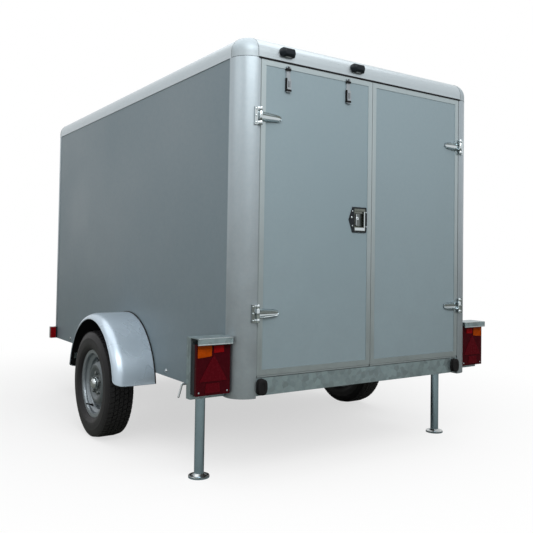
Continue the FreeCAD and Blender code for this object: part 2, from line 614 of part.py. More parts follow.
def tyre():
    """Radial tyre with a flat tread, rounded sidewalls and beads on the rim's seats."""
    half = TYRE_WIDTH / 2
    tread = half - TREAD_INSET
    seat = RIM_WIDTH / 2 - RIM_SHEET
    edge = RIM_RADIUS + RIM_LIP
    shoulder = TYRE_RADIUS - SHOULDER_DROP
    shoulder_y = tread + SHOULDER_REACH
    bulge = TYRE_RADIUS - SHOULDER_BULGE[0]
    bulge_y = tread + SHOULDER_BULGE[1]
    belly = (edge + shoulder) / 2 - BELLY_DROP
    inside = TYRE_RADIUS - TYRE_WALL - TREAD_LAYER
    return about_axle([
        (RIM_RADIUS, seat - BEAD_WIDTH), (RIM_RADIUS, seat), (edge, seat),
        ((belly, half), (shoulder, shoulder_y)), ((bulge, bulge_y), (TYRE_RADIUS, tread)),
        (TYRE_RADIUS, -tread),
        ((bulge, -bulge_y), (shoulder, -shoulder_y)), ((belly, -half), (edge, -seat)),
        (RIM_RADIUS, -seat), (RIM_RADIUS, -seat + BEAD_WIDTH), (edge, -seat + TYRE_WALL),
        ((belly, -half + TYRE_WALL), (inside, -tread)),
        (inside, tread),
        ((belly, half - TYRE_WALL), (edge, seat - TYRE_WALL))])


def rim():
    """Pressed steel wheel: a rolled rim with drop centre and a dished disc with hand holes."""
    half = RIM_WIDTH / 2
    flange = RIM_RADIUS + RIM_LIP
    inner = RIM_RADIUS - RIM_SHEET
    drop = RIM_DROP_RADIUS
    under = drop - RIM_SHEET
    front = half - RIM_SEAT
    rear = RIM_SEAT - half
    hoop = about_axle([
        (flange, half), (flange, half - RIM_SHEET), (RIM_RADIUS, half - RIM_SHEET), (RIM_RADIUS, front),
        (drop, front - RIM_FRONT_RAMP), (drop, rear + RIM_REAR_RAMP), (RIM_RADIUS, rear),
        (RIM_RADIUS, -half + RIM_SHEET), (flange, -half + RIM_SHEET), (flange, -half), (inner, -half),
        (inner, rear - RIM_TURN), (under, rear + RIM_REAR_RAMP - RIM_TURN),
        (under, front - RIM_FRONT_RAMP - RIM_TURN), (inner, front - RIM_TURN), (inner, half)])
    face = RIM_OFFSET
    flat = PITCH_CIRCLE / 2 + DISC_FLAT
    step = PITCH_CIRCLE / 2 + DISC_STEP[0]
    step_y = face + DISC_STEP[1]
    crown = DISC_CROWN_RADIUS
    crown_y = face + DISC_RISE
    bore = HUB_CAP_RADIUS + HUB_CAP_CLEARANCE
    disc = about_axle([
        (bore, face), (flat, face), (step, step_y), (crown, crown_y),
        (under, face - DISC_EDGE[0]), (under, face - DISC_EDGE[1]),
        (crown - 2 * DISC_FOLD, crown_y - DISC_SHEET), (step + DISC_FOLD, step_y - DISC_SHEET),
        (flat + DISC_FOLD, face - DISC_SHEET), (bore, face - DISC_SHEET)])
    wheel = hoop.fuse(disc)
    for x, z in round_axle(HAND_HOLE_CIRCLE, HAND_HOLES, 0):
        wheel = wheel.cut(cylinder(HAND_HOLE_RADIUS, (x, WHEEL_CENTRE_Y, z), (0, 1, 0), RIM_WIDTH))
    for x, z in bolt_places():
        hole = BOLT_RADIUS + BOLT_CLEARANCE
        wheel = wheel.cut(cylinder(hole, (x, WHEEL_CENTRE_Y, z), (0, 1, 0), RIM_WIDTH))
    return wheel.removeSplitter()


def round_axle(radius, count, turn):
    """Evenly spaced places on a circle about the axle; turn is the first one's share of the spacing."""
    angles = [2 * math.pi * (number + turn) / count for number in range(count)]
    return [(AXLE_X + radius * math.cos(angle), WHEEL_Z + radius * math.sin(angle)) for angle in angles]


def bolt_places():
    """Where the wheel bolts sit round the axle."""
    return round_axle(PITCH_CIRCLE / 2, WHEEL_BOLTS, BOLT_TURN)


def hub():
    """Hub with its bolt flange against the disc, bolt heads and grease cap."""
    face = RIM_OFFSET - DISC_SHEET
    bore = SPINDLE_RADIUS + SPINDLE_CLEARANCE
    end = HUB_FACE_Y - WHEEL_CENTRE_Y
    back = ARM_OUTER_Y + HUB_BACK_CLEARANCE - WHEEL_CENTRE_Y
    tip = end + HUB_CAP_LENGTH
    body = about_axle([
        (bore, back), (HUB_BARREL_RADIUS, back), (HUB_BARREL_RADIUS, face - HUB_FLANGE),
        (HUB_RADIUS, face - HUB_FLANGE), (HUB_RADIUS, face), (HUB_CAP_RADIUS, face),
        (HUB_CAP_RADIUS, tip - HUB_CAP_ROUND[0]),
        ((HUB_CAP_RADIUS - HUB_CAP_BULGE[1], tip - HUB_CAP_BULGE[0]),
         (HUB_CAP_RADIUS - HUB_CAP_ROUND[1], tip)),
        (0, tip), (0, end), (bore, end)])
    shank = WHEEL_CENTRE_Y + face - BOLT_LAP
    for x, z in bolt_places():
        body = body.fuse(cylinder(BOLT_RADIUS, (x, shank, z), (0, 1, 0), HUB_FACE_Y + BOLT_HEAD - shank))
        body = body.fuse(cylinder(BOLT_HEAD_RADIUS, (x, HUB_FACE_Y, z), (0, 1, 0), BOLT_HEAD))
    return body.removeSplitter()


# ---------------------------------------------------------------- mudguards
def mudguard():
    """Curved guard over one wheel: a crown that stands out from the wall and rolls down to a lip."""
    lip = GUARD_RADIUS - GUARD_SHOULDER
    inner = GUARD_RADIUS - GUARD_SHEET
    turn = GUARD_OUTER_Y - GUARD_SHOULDER
    outline = [(WALL_OUTER_Y, GUARD_RADIUS), (turn, GUARD_RADIUS),
               arc_corner((turn, lip), GUARD_SHOULDER, 90, 0),
               (GUARD_OUTER_Y - GUARD_SHEET, lip),
               arc_corner((turn, lip), GUARD_SHOULDER - GUARD_SHEET, 0, 90),
               (WALL_OUTER_Y, inner)]
    shell = spin(outline, "yz", (0, 0, 0), (0, 1, 0), 180 - 2 * GUARD_END_ANGLE)
    shell.rotate(V(0, 0, 0), V(0, 1, 0), -(90 - GUARD_END_ANGLE))
    shell.translate(V(AXLE_X, 0, WHEEL_Z))
    return shell


def from_axle(radius, angle):
    """A point (x, z) at a radius and an angle from straight ahead, about the axle."""
    return (AXLE_X + radius * math.cos(angle), WHEEL_Z + radius * math.sin(angle))


def mudguard_stays():
    """Bars from the side wall out under both ends of each guard."""
    stays = []
    top = GUARD_RADIUS - GUARD_SHEET
    bottom = top - STAY_SHEET
    inset = GUARD_END_ANGLE + STAY_END_ANGLE
    for middle in (inset, 180 - inset):
        low = math.radians(middle - STAY_WIDTH_ANGLE / 2)
        mid = math.radians(middle)
        high = math.radians(middle + STAY_WIDTH_ANGLE / 2)
        outline = [from_axle(bottom, low), from_axle(top, low),
                   (from_axle(top, mid), from_axle(top, high)), from_axle(bottom, high)]
        bar = prism(outline, "xz", WALL_OUTER_Y, GUARD_OUTER_Y - GUARD_SHOULDER)
        stays.extend(both_sides(bar))
    return stays


# ---------------------------------------------------------------- box body
def floor_panel():
    """Plywood floor on the frame, between the walls."""
    panel = box(SILL_FRONT, FRONT_WALL_INNER_X, -WALL_INNER_Y, WALL_INNER_Y, FLOOR_BOTTOM, FLOOR_TOP)
    return largest(panel.cut(Part.makeCompound(corner_posts())))


def side_wall():
    """Flat panel between two corner posts, its edges behind their legs and the roof rail's."""
    return box(WALL_START, BODY_LENGTH - WALL_START, WALL_INNER_Y, WALL_OUTER_Y, BODY_BOTTOM, WALL_TOP)


def front_wall():
    """Flat panel across the front."""
    edge = HALF_WIDTH - WALL_START
    return box(FRONT_WALL_INNER_X, FRONT_WALL_OUTER_X, -edge, edge, BODY_BOTTOM, WALL_TOP)


def roof_panel():
    """Flat roof skin inside the roof rails, its corners cut off under the corner caps."""
    half = HALF_WIDTH - ROOF_START
    x0 = ROOF_START
    x1 = BODY_LENGTH - ROOF_START
    cut = LAP_DEPTH
    outline = [(x0 + cut, -half), (x1 - cut, -half), (x1, -half + cut), (x1, half - cut),
               (x1 - cut, half), (x0 + cut, half), (x0, half - cut), (x0, -half + cut)]
    return prism(outline, "xy", ROOF_PANEL_BOTTOM, ROOF_PANEL_TOP)


def rear_post():
    """Rounded upright profile at a rear corner, with a jamb and a stop for the door."""
    centre = (CORNER_RADIUS, HALF_WIDTH - CORNER_RADIUS)
    outline = [(0, POST_EDGE_Y), (0, HALF_WIDTH - CORNER_RADIUS),
               arc_corner(centre, CORNER_RADIUS, 180, 90),
               (POST_LEG, HALF_WIDTH), (POST_LEG, WALL_OUTER_Y), (WALL_START, WALL_OUTER_Y),
               (WALL_START, POST_INNER_Y), (JAMB_DEPTH, POST_EDGE_Y + JAMB_WIDTH),
               (JAMB_DEPTH, POST_EDGE_Y - STOP_WIDTH),
               (JAMB_DEPTH - STOP_DEPTH, POST_EDGE_Y - STOP_WIDTH), (JAMB_DEPTH - STOP_DEPTH, POST_EDGE_Y)]
    post = prism(outline, "xy", BODY_BOTTOM, RAIL_BOTTOM)
    sill_space = box(SILL_SETBACK, JAMB_DEPTH, 0, POST_EDGE_Y, BODY_BOTTOM, DOOR_BOTTOM)
    return post.cut(sill_space)


def front_post():
    """Rounded upright profile at a front corner, lapping the front and side walls."""
    x1 = BODY_LENGTH
    centre = (x1 - CORNER_RADIUS, HALF_WIDTH - CORNER_RADIUS)
    edge = HALF_WIDTH - WALL_START
    outline = [(x1 - POST_LEG, HALF_WIDTH), (x1 - CORNER_RADIUS, HALF_WIDTH),
               arc_corner(centre, CORNER_RADIUS, 90, 0),
               (x1, POST_EDGE_Y), (x1 - SKIN_LAP, POST_EDGE_Y), (x1 - SKIN_LAP, edge),
               (FRONT_WALL_INNER_X - INSIDE_CLEARANCE, edge), (x1 - WALL_START, POST_INNER_Y),
               (x1 - WALL_START, WALL_OUTER_Y), (x1 - POST_LEG, WALL_OUTER_Y)]
    return prism(outline, "xy", BODY_BOTTOM, RAIL_BOTTOM)


def corner_posts():
    """All four uprights."""
    return both_sides(rear_post()) + both_sides(front_post())


def rail_outline(lapped):
    """Roof rail section as (distance in from the outer face, height)."""
    centre = (RAIL_RADIUS, BAND_TOP)
    outline = [(0, RAIL_BOTTOM), (0, BAND_TOP), arc_corner(centre, RAIL_RADIUS, 180, 90),
               (RAIL_WIDTH, ROOF_TOP), (RAIL_WIDTH, ROOF_PANEL_TOP), (ROOF_START, ROOF_PANEL_TOP),
               (ROOF_START, ROOF_PANEL_BOTTOM - INSIDE_CLEARANCE)]
    if lapped:
        inside = SKIN_LAP + WALL_THICKNESS + INSIDE_CLEARANCE
        return outline + [(inside, WALL_TOP), (SKIN_LAP, WALL_TOP), (SKIN_LAP, RAIL_BOTTOM)]
    stop = JAMB_DEPTH - STOP_DEPTH
    stop_bottom = DOOR_TOP - STOP_WIDTH
    return outline + [(JAMB_DEPTH, RAIL_BOTTOM), (JAMB_DEPTH, stop_bottom),
                      (stop, stop_bottom), (stop, RAIL_BOTTOM)]


def roof_rails():
    """Rounded edge profiles on all four sides, between the corner caps."""
    side = prism([flip(step, HALF_WIDTH) for step in rail_outline(True)], "yz",
                 CORNER_RADIUS, BODY_LENGTH - CORNER_RADIUS)
    reach = HALF_WIDTH - CORNER_RADIUS
    rear = prism(rail_outline(False), "xz", -reach, reach)
    front = prism([flip(step, BODY_LENGTH) for step in rail_outline(True)], "xz", -reach, reach)
    posts = Part.makeCompound(corner_posts())
    return both_sides(side) + [rear.cut(posts), front]


def flip(step, edge):
    """An outline step measured back from an outer edge."""
    if isinstance(step[0], tuple):
        return tuple((edge - p[0], p[1]) for p in step)
    return (edge - step[0], step[1])


def roof_corner_caps():
    """Cast corners where two roof rails meet above a post."""
    flat = CORNER_RADIUS - RAIL_RADIUS
    outline = [(0, ROOF_PANEL_BOTTOM - CAP_SKIRT), (CORNER_RADIUS - CAP_SLOPE, RAIL_BOTTOM),
               (CORNER_RADIUS, RAIL_BOTTOM), (CORNER_RADIUS, BAND_TOP),
               arc_corner((flat, BAND_TOP), RAIL_RADIUS, 0, 90), (0, ROOF_TOP)]
    panels = Part.makeCompound([roof_panel(), side_wall(), mirrored(side_wall()), front_wall()])
    caps = []
    for x, start in ((CORNER_RADIUS, 90), (BODY_LENGTH - CORNER_RADIUS, 0)):
        cap = spin(outline, "xz", (0, 0, 0), (0, 0, 1), 90)
        cap.rotate(V(0, 0, 0), V(0, 0, 1), start)
        cap.translate(V(x, HALF_WIDTH - CORNER_RADIUS, 0))
        caps.extend(both_sides(largest(cap.cut(panels))))
    return caps


# ---------------------------------------------------------------- doors
def door_span(side):
    """The low and high Y of one door."""
    if side > 0:
        return LEFT_DOOR_LOW_Y, DOOR_EDGE_Y
    return -DOOR_EDGE_Y, DOOR_SEAM_Y - DOOR_SEAM / 2


def lock_outline(grow):
    """Edge of the lock plate, pointed towards the hinges; grow moves it out or in."""
    half_w = LOCK_WIDTH / 2 + grow
    half_h = LOCK_HEIGHT / 2 + grow
    point = LOCK_POINT
    return [(LOCK_Y - half_w, LOCK_Z - half_h), (LOCK_Y + half_w - point / 2, LOCK_Z - half_h),
            (LOCK_Y + half_w + point / 2, LOCK_Z), (LOCK_Y + half_w - point / 2, LOCK_Z + half_h),
            (LOCK_Y - half_w, LOCK_Z + half_h)]


def lock_cup_box(grow):
    """The recess behind the lock plate."""
    half_w = LOCK_WIDTH / 2 - LOCK_RIM + grow
    half_h = LOCK_HEIGHT / 2 - LOCK_RIM + grow
    return box(0, LOCK_CUP_DEPTH + grow, LOCK_Y - half_w, LOCK_Y + half_w, LOCK_Z - half_h, LOCK_Z + half_h)


def door_core(side):
    """The space of one door's panel, which its frame is grooved for."""
    low, high = door_span(side)
    edge = DOOR_FRAME_WIDTH - DOOR_PANEL_LAP
    return box(DOOR_PANEL_RECESS, DOOR_THICKNESS - DOOR_PANEL_RECESS, low + edge, high - edge,
               DOOR_BOTTOM + edge, DOOR_TOP - edge)


def door_panel(side):
    """Flat insulated panel of one door, set in its frame."""
    panel = door_core(side)
    if side > 0:
        panel = panel.cut(lock_cup_box(0))
    return panel


def door_frame(side):
    """Aluminium edge profile all round one door, lapping the panel front and back."""
    low, high = door_span(side)
    width = DOOR_FRAME_WIDTH
    outer = box(0, DOOR_THICKNESS, low, high, DOOR_BOTTOM, DOOR_TOP)
    window = box(0, DOOR_THICKNESS, low + width, high - width, DOOR_BOTTOM + width, DOOR_TOP - width)
    return outer.cut(window).cut(door_core(side))


def hinge_plates():
    """Fixed hinge halves on the rear posts, each with its pin and outer knuckles."""
    plates = []
    behind, before, inward = HINGE_WEB
    for z in HINGE_HEIGHTS:
        low = z - HINGE_HEIGHT / 2
        high = z + HINGE_HEIGHT / 2
        inner = HINGE_PIN_Y + HINGE_KNUCKLE_RADIUS + HINGE_PLATE_GAP
        plate = box(-HINGE_PLATE, 0, inner, inner + HINGE_PLATE_WIDTH, low, high)
        pin = cylinder(HINGE_PIN_RADIUS, (HINGE_PIN_X, HINGE_PIN_Y, low), (0, 0, 1), HINGE_HEIGHT)
        plate = plate.fuse(pin)
        knuckle = (HINGE_HEIGHT - HINGE_KNUCKLE) / 2 - HINGE_KNUCKLE_GAP
        for start in (low, high - knuckle):
            ring = cylinder(HINGE_KNUCKLE_RADIUS, (HINGE_PIN_X, HINGE_PIN_Y, start), (0, 0, 1), knuckle)
            web = box(HINGE_PIN_X - behind, HINGE_PIN_X + before, HINGE_PIN_Y, inner + inward,
                      start, start + knuckle)
            plate = plate.fuse(ring).fuse(web)
        plates.extend(both_sides(plate.removeSplitter()))
    return plates


def hinge_arms(side):
    """Strap halves of one door's hinges, each with a knuckle round the pin."""
    arms = []
    half = HINGE_KNUCKLE / 2
    narrow = half * HINGE_TIP_SHARE
    tip = DOOR_EDGE_Y - HINGE_ARM_LENGTH
    middle_x = -HINGE_PLATE / 2
    crown = (HINGE_PIN_X - HINGE_BOW_CROWN[0], DOOR_EDGE_Y - HINGE_BOW_CROWN[1])
    root = (HINGE_PIN_X - HINGE_BOW_ROOT[0], HINGE_PIN_Y - HINGE_BOW_ROOT[1])
    for z in HINGE_HEIGHTS:
        foot = (HINGE_PIN_X, HINGE_PIN_Y, z - half)
        ring = cylinder(HINGE_KNUCKLE_RADIUS, foot, (0, 0, 1), HINGE_KNUCKLE)
        strap = prism([(DOOR_EDGE_Y, z - half), (DOOR_EDGE_Y, z + half), (tip, z + narrow),
                       ((tip - HINGE_TIP, z), (tip, z - narrow))], "yz", -HINGE_PLATE, 0)
        bow = prism([(HINGE_PIN_X - HINGE_KNUCKLE_RADIUS + HINGE_BOW_INSET, HINGE_PIN_Y),
                     (HINGE_PIN_X + HINGE_BOW_HEEL[0], HINGE_PIN_Y - HINGE_BOW_HEEL[1]),
                     (middle_x, DOOR_EDGE_Y - HINGE_BOW_INSET), (middle_x, DOOR_EDGE_Y - HINGE_BOW_REACH),
                     (crown, root)], "xy", z - half, z + half)
        bore = cylinder(HINGE_PIN_RADIUS + HINGE_RUNNING_GAP, foot, (0, 0, 1), HINGE_KNUCKLE)
        arm = ring.fuse(strap).fuse(bow).cut(bore).removeSplitter()
        arms.append(arm if side > 0 else mirrored(arm))
    return arms


def door_lock():
    """Recessed paddle lock: a pointed plate, a cup let into the door and a paddle to pull."""
    plate = prism(lock_outline(0), "yz", -LOCK_SHEET, 0)
    hole = lock_cup_box(-LOCK_SHEET)
    hole.translate(V(-LOCK_SHEET - MARGIN, 0, 0))
    cup = lock_cup_box(0).fuse(plate).cut(hole)
    half_w = LOCK_WIDTH / 2 - LOCK_RIM - LOCK_SHEET
    half_h = LOCK_HEIGHT / 2 - LOCK_RIM - LOCK_SHEET
    edge = half_w * PADDLE_SHARE[0]
    height = half_h * PADDLE_SHARE[1]
    paddle = box(*PADDLE_DEPTH, LOCK_Y - half_w, LOCK_Y + edge, LOCK_Z - height, LOCK_Z + height)
    return cup.fuse(paddle).removeSplitter()


def plate_clips():
    """Two long clips near the top of the left door that take a number plate."""
    clips = []
    bottom = CLIP_TOP - CLIP_HEIGHT
    half = CLIP_WIDTH / 2
    for inset in CLIP_INSETS:
        y = DOOR_EDGE_Y - inset
        back = box(-CLIP_SHEET, 0, y - half, y + half, bottom, CLIP_TOP)
        for z0, z1 in ((bottom, bottom + CLIP_HOOK), (CLIP_TOP - CLIP_HOOK, CLIP_TOP)):
            back = back.fuse(box(-CLIP_DEPTH, 0, y - half, y + half, z0, z1))
        clips.append(back.removeSplitter())
    return clips


# ---------------------------------------------------------------- lamps and small fittings
def lamp_bracket():
    """Folded galvanised bracket beside the post: an upright plate, an outer flange and a hood."""
    outer = LAMP_OUTER_Y
    sheet = BRACKET_SHEET
    back = BRACKET_X + BRACKET_DEPTH
    hood_x = LAMP_FACE_X - HOOD_REACH
    plate = box(BRACKET_X, BRACKET_X + sheet, HALF_WIDTH, outer, BRACKET_BOTTOM, HOOD_TOP)
    flange = box(BRACKET_X, back, outer, outer + sheet, BRACKET_BOTTOM, HOOD_TOP)
    foot = box(BRACKET_X, back, WALL_OUTER_Y, HALF_WIDTH + sheet, BRACKET_BOTTOM, HOOD_TOP)
    post_leg_space = box(0, POST_LEG, 0, HALF_WIDTH, BODY_BOTTOM, RAIL_BOTTOM)
    hood = box(hood_x, back, HALF_WIDTH, outer + sheet, HOOD_TOP, HOOD_TOP + sheet)
    lip = box(hood_x, hood_x + sheet, HALF_WIDTH, outer + sheet, HOOD_TOP - HOOD_LIP, HOOD_TOP)
    return plate.fuse(flange).fuse(foot.cut(post_leg_space)).fuse(hood).fuse(lip).removeSplitter()


def lamp_housing():
    """Black back half of a rear lamp."""
    block = box(HOUSING_X, BRACKET_X, LAMP_INNER_Y, LAMP_OUTER_Y, LAMP_BOTTOM, LAMP_TOP)
    return block.makeFillet(LAMP_CORNER, along_x(block))


def lamp_lens():
    """Moulded lens of a rear lamp."""
    block = box(LAMP_FACE_X, HOUSING_X, LAMP_INNER_Y, LAMP_OUTER_Y, LAMP_BOTTOM, LAMP_TOP)
    rear_edges = [edge for edge in block.Edges if edge.BoundBox.XMin < LAMP_FACE_X + MARGIN]
    return block.makeFillet(LAMP_CORNER, rear_edges)


def rounded_block(width, height, corner, x0, x1, y, z):
    """A block along X whose outline has four rounded corners."""
    w = width / 2 - corner
    h = height / 2 - corner
    outline = [(y - w, z - height / 2), (y + w, z - height / 2), arc_corner((y + w, z - h), corner, -90, 0),
               (y + width / 2, z + h), arc_corner((y + w, z + h), corner, 0, 90),
               (y - w, z + height / 2), arc_corner((y - w, z + h), corner, 90, 180),
               (y - width / 2, z - h), arc_corner((y - w, z - h), corner, 180, 270)]
    return prism(outline, "yz", x0, x1)


def rear_buffer():
    """Oblong rubber buffer on an end of the sill, beside the post."""
    front = SILL_SETBACK - BUFFER_LENGTH
    middle = (SILL_TOP + SILL_BOTTOM) / 2
    trim = 2 * BUFFER_STEP
    body = rounded_block(BUFFER_WIDTH - trim, BUFFER_HEIGHT - trim, BUFFER_CORNER - BUFFER_STEP,
                         front, SILL_SETBACK, BUFFER_Y, middle)
    foot = rounded_block(BUFFER_WIDTH, BUFFER_HEIGHT, BUFFER_CORNER, SILL_SETBACK - BUFFER_FLANGE,
                         SILL_SETBACK, BUFFER_Y, middle)
    return body.fuse(foot).removeSplitter()


def plate_lamps():
    """Two number-plate lamps on the rear roof rail, each with slanted cheeks."""
    rails = Part.makeCompound(roof_rails())
    back = RAIL_RADIUS
    front = -PLATE_LAMP_REACH
    bottom = RAIL_BOTTOM + PLATE_LAMP_DROP
    top = bottom + PLATE_LAMP_HEIGHT
    cut = PLATE_LAMP_CHAMFER
    lamps = []
    side = PLATE_LAMP_WIDTH / 2
    face = PLATE_LAMP_FACE / 2
    for inset in PLATE_LAMP_INSETS:
        y = POST_EDGE_Y - inset
        plan = [(back, y - side), (0, y - side), (front, y - face), (front, y + face), (0, y + side),
                (back, y + side)]
        profile = [(back, bottom), (front + cut, bottom), (front, bottom + cut), (front, top - cut),
                   (front + cut, top), (back, top)]
        lamp = prism(plan, "xy", bottom, top).common(prism(profile, "xz", y - side, y + side))
        lamps.append(min(lamp.cut(rails).Solids, key=lambda solid: solid.CenterOfMass.x))
    return lamps


def marker_lamp():
    """Side marker lamp standing out from the front end of the wall."""
    length, reach, height = MARKER_SIZE
    return box(MARKER_X - length, MARKER_X, HALF_WIDTH, HALF_WIDTH + reach, MARKER_BOTTOM,
               MARKER_BOTTOM + height)


def lead_gland():
    """Gland where a lead would leave the nose tube, with its bore."""
    foot = (NOSE_START_X + GLAND_INSET, 0, DRAWBAR_TOP)
    return tube(GLAND_RADIUS, GLAND_BORE, foot, (0, 0, 1), GLAND_HEIGHT)


# ---------------------------------------------------------------- prop stands
def stand_clamp():
    """Clamp on the side wall round a prop stand, with its bent locking handle."""
    foot = (STAND_X, STAND_Y, CLAMP_BOTTOM)
    outside = STAND_RADIUS + CLAMP_WALL
    ring = cylinder(outside, foot, (0, 0, 1), CLAMP_HEIGHT)
    half = outside + CLAMP_WING
    plate = box(STAND_X - half, STAND_X + half, WALL_OUTER_Y, WALL_OUTER_Y + CLAMP_PLATE,
                CLAMP_BOTTOM, CLAMP_TOP)
    neck = box(STAND_X - STAND_RADIUS, STAND_X + STAND_RADIUS, WALL_OUTER_Y, STAND_Y,
               CLAMP_BOTTOM, CLAMP_TOP)
    bore = cylinder(STAND_RADIUS + CLAMP_CLEARANCE, foot, (0, 0, 1), CLAMP_HEIGHT)
    middle = CLAMP_BOTTOM + CLAMP_HEIGHT / 2
    reach = outside + CLAMP_BOSS
    boss = cylinder(CLAMP_BOSS_RADIUS, (STAND_X, STAND_Y, middle), (0, 1, 0), reach)
    clamp = ring.fuse(plate).fuse(neck).fuse(boss).cut(bore)
    wall_space = box(0, BODY_LENGTH, 0, WALL_OUTER_Y, 0, RAIL_BOTTOM)
    clamp = clamp.cut(wall_space)
    start = V(STAND_X, STAND_Y + reach - HANDLE_RADIUS, middle)
    bend = V(STAND_X, STAND_Y + reach + HANDLE_REACH, middle)
    end = bend + V(0, HANDLE_SPLAY, -HANDLE_DROP)
    for a, b in ((start, bend), (bend, end)):
        clamp = clamp.fuse(cylinder(HANDLE_RADIUS, tuple(a), tuple(b - a), (b - a).Length))
    clamp = clamp.fuse(Part.makeSphere(HANDLE_RADIUS, bend)).fuse(Part.makeSphere(HANDLE_RADIUS, end))
    return clamp.removeSplitter()


def prop_stand():
    """Steel tube with a round foot plate."""
    start = (STAND_X, STAND_Y, STAND_FOOT)
    pipe = tube(STAND_RADIUS, STAND_RADIUS - STAND_WALL, start, (0, 0, 1), STAND_TOP - STAND_FOOT)
    foot = cylinder(STAND_FOOT_RADIUS, (STAND_X, STAND_Y, 0), (0, 0, 1), STAND_FOOT)
    return pipe.fuse(foot).removeSplitter()


# ---------------------------------------------------------------- jockey wheel
JOCKEY_Y = drawbar_centre_y(JOCKEY_X) + DRAWBAR_WIDTH / 2 + JOCKEY_STANDOFF + JOCKEY_TUBE_RADIUS


def jockey_clamp():
    """Clamp on the drawbar's left leg round the jockey tube."""
    low = DRAWBAR_BOTTOM + JOCKEY_CLAMP_INSET
    height = DRAWBAR_HEIGHT - 2 * JOCKEY_CLAMP_INSET
    foot = (JOCKEY_X, JOCKEY_Y, low)
    ring = cylinder(JOCKEY_TUBE_RADIUS + CLAMP_WALL, foot, (0, 0, 1), height)
    block = box(JOCKEY_X - JOCKEY_CLAMP_HALF, JOCKEY_X + JOCKEY_CLAMP_HALF, drawbar_centre_y(JOCKEY_X),
                JOCKEY_Y, low, low + height)
    bore = cylinder(JOCKEY_TUBE_RADIUS + CLAMP_CLEARANCE, foot, (0, 0, 1), height)
    leg = drawbar_prism(DRAWBAR_WIDTH / 2, DRAWBAR_BOTTOM, DRAWBAR_TOP, DRAWBAR_START_X, NOSE_END_X)
    middle = low + height / 2
    reach = JOCKEY_TUBE_RADIUS + JOCKEY_BOSS
    boss = cylinder(JOCKEY_BOSS_RADIUS, (JOCKEY_X, JOCKEY_Y, middle), (0, 1, 0), reach)
    radius, length = JOCKEY_BAR
    bar_start = (JOCKEY_X - length / 2, JOCKEY_Y + reach - JOCKEY_BAR_INSET, middle)
    bar = cylinder(radius, bar_start, (1, 0, 0), length)
    return largest(ring.fuse(block).fuse(boss).fuse(bar).cut(bore).cut(leg))


def jockey_tube():
    """Outer tube with its cap and the crank that drives the screw."""
    top = (JOCKEY_X, JOCKEY_Y, JOCKEY_TUBE_TOP)
    body = tube(JOCKEY_TUBE_RADIUS, JOCKEY_STEM_RADIUS + CLAMP_CLEARANCE,
                (JOCKEY_X, JOCKEY_Y, JOCKEY_TUBE_BOTTOM), (0, 0, 1), JOCKEY_TUBE_TOP - JOCKEY_TUBE_BOTTOM)
    cap = cylinder(JOCKEY_TUBE_RADIUS + JOCKEY_CAP[0], top, (0, 0, 1), JOCKEY_CAP[1])
    spindle = cylinder(JOCKEY_SPINDLE_RADIUS, top, (0, 0, 1), JOCKEY_SPINDLE)
    crank_z = JOCKEY_TUBE_TOP + JOCKEY_CRANK_RISE
    crank = cylinder(JOCKEY_CRANK_RADIUS, (JOCKEY_X, JOCKEY_Y, crank_z), (0, 1, 0), JOCKEY_CRANK_REACH)
    grip_y = JOCKEY_Y + JOCKEY_CRANK_REACH - JOCKEY_GRIP_LAP
    grip = cylinder(JOCKEY_GRIP_RADIUS, (JOCKEY_X, grip_y, crank_z), (0, 0, 1), JOCKEY_GRIP_LENGTH)
    return body.fuse(cap).fuse(spindle).fuse(crank).fuse(grip).removeSplitter()


def jockey_stem():
    """Inner tube that the screw drives in and out of the outer tube."""
    bottom = FORK_TOP + JOCKEY_SWIVEL_GAP
    return cylinder(JOCKEY_STEM_RADIUS, (JOCKEY_X, JOCKEY_Y, bottom), (0, 0, 1), JOCKEY_STEM_TOP - bottom)


def jockey_fork():
    """Swivelling fork: a top plate, two cheeks and the wheel's axle."""
    gap = FORK_HALF_GAP
    sheet = JOCKEY_FORK_SHEET
    rear = JOCKEY_X - JOCKEY_FORK_SPAN[0]
    front = JOCKEY_X + JOCKEY_FORK_SPAN[1]
    half, shoulder, drop = JOCKEY_EYE
    top = box(rear, front, JOCKEY_Y - gap - sheet, JOCKEY_Y + gap + sheet, FORK_TOP - sheet, FORK_TOP)
    cheek = prism([(rear, FORK_TOP), (front, FORK_TOP),
                   (JOCKEY_WHEEL_X + half, JOCKEY_WHEEL_RADIUS - shoulder),
                   ((JOCKEY_WHEEL_X, JOCKEY_WHEEL_RADIUS - drop),
                    (JOCKEY_WHEEL_X - half, JOCKEY_WHEEL_RADIUS - shoulder))],
                  "xz", JOCKEY_Y + gap, JOCKEY_Y + gap + sheet)
    other = cheek.copy()
    other.translate(V(0, -2 * gap - sheet, 0))
    axle = cylinder(JOCKEY_AXLE_RADIUS, (JOCKEY_WHEEL_X, JOCKEY_Y - gap - sheet, JOCKEY_WHEEL_RADIUS),
                    (0, 1, 0), 2 * (gap + sheet))
    return top.fuse(cheek).fuse(other).fuse(axle).removeSplitter()


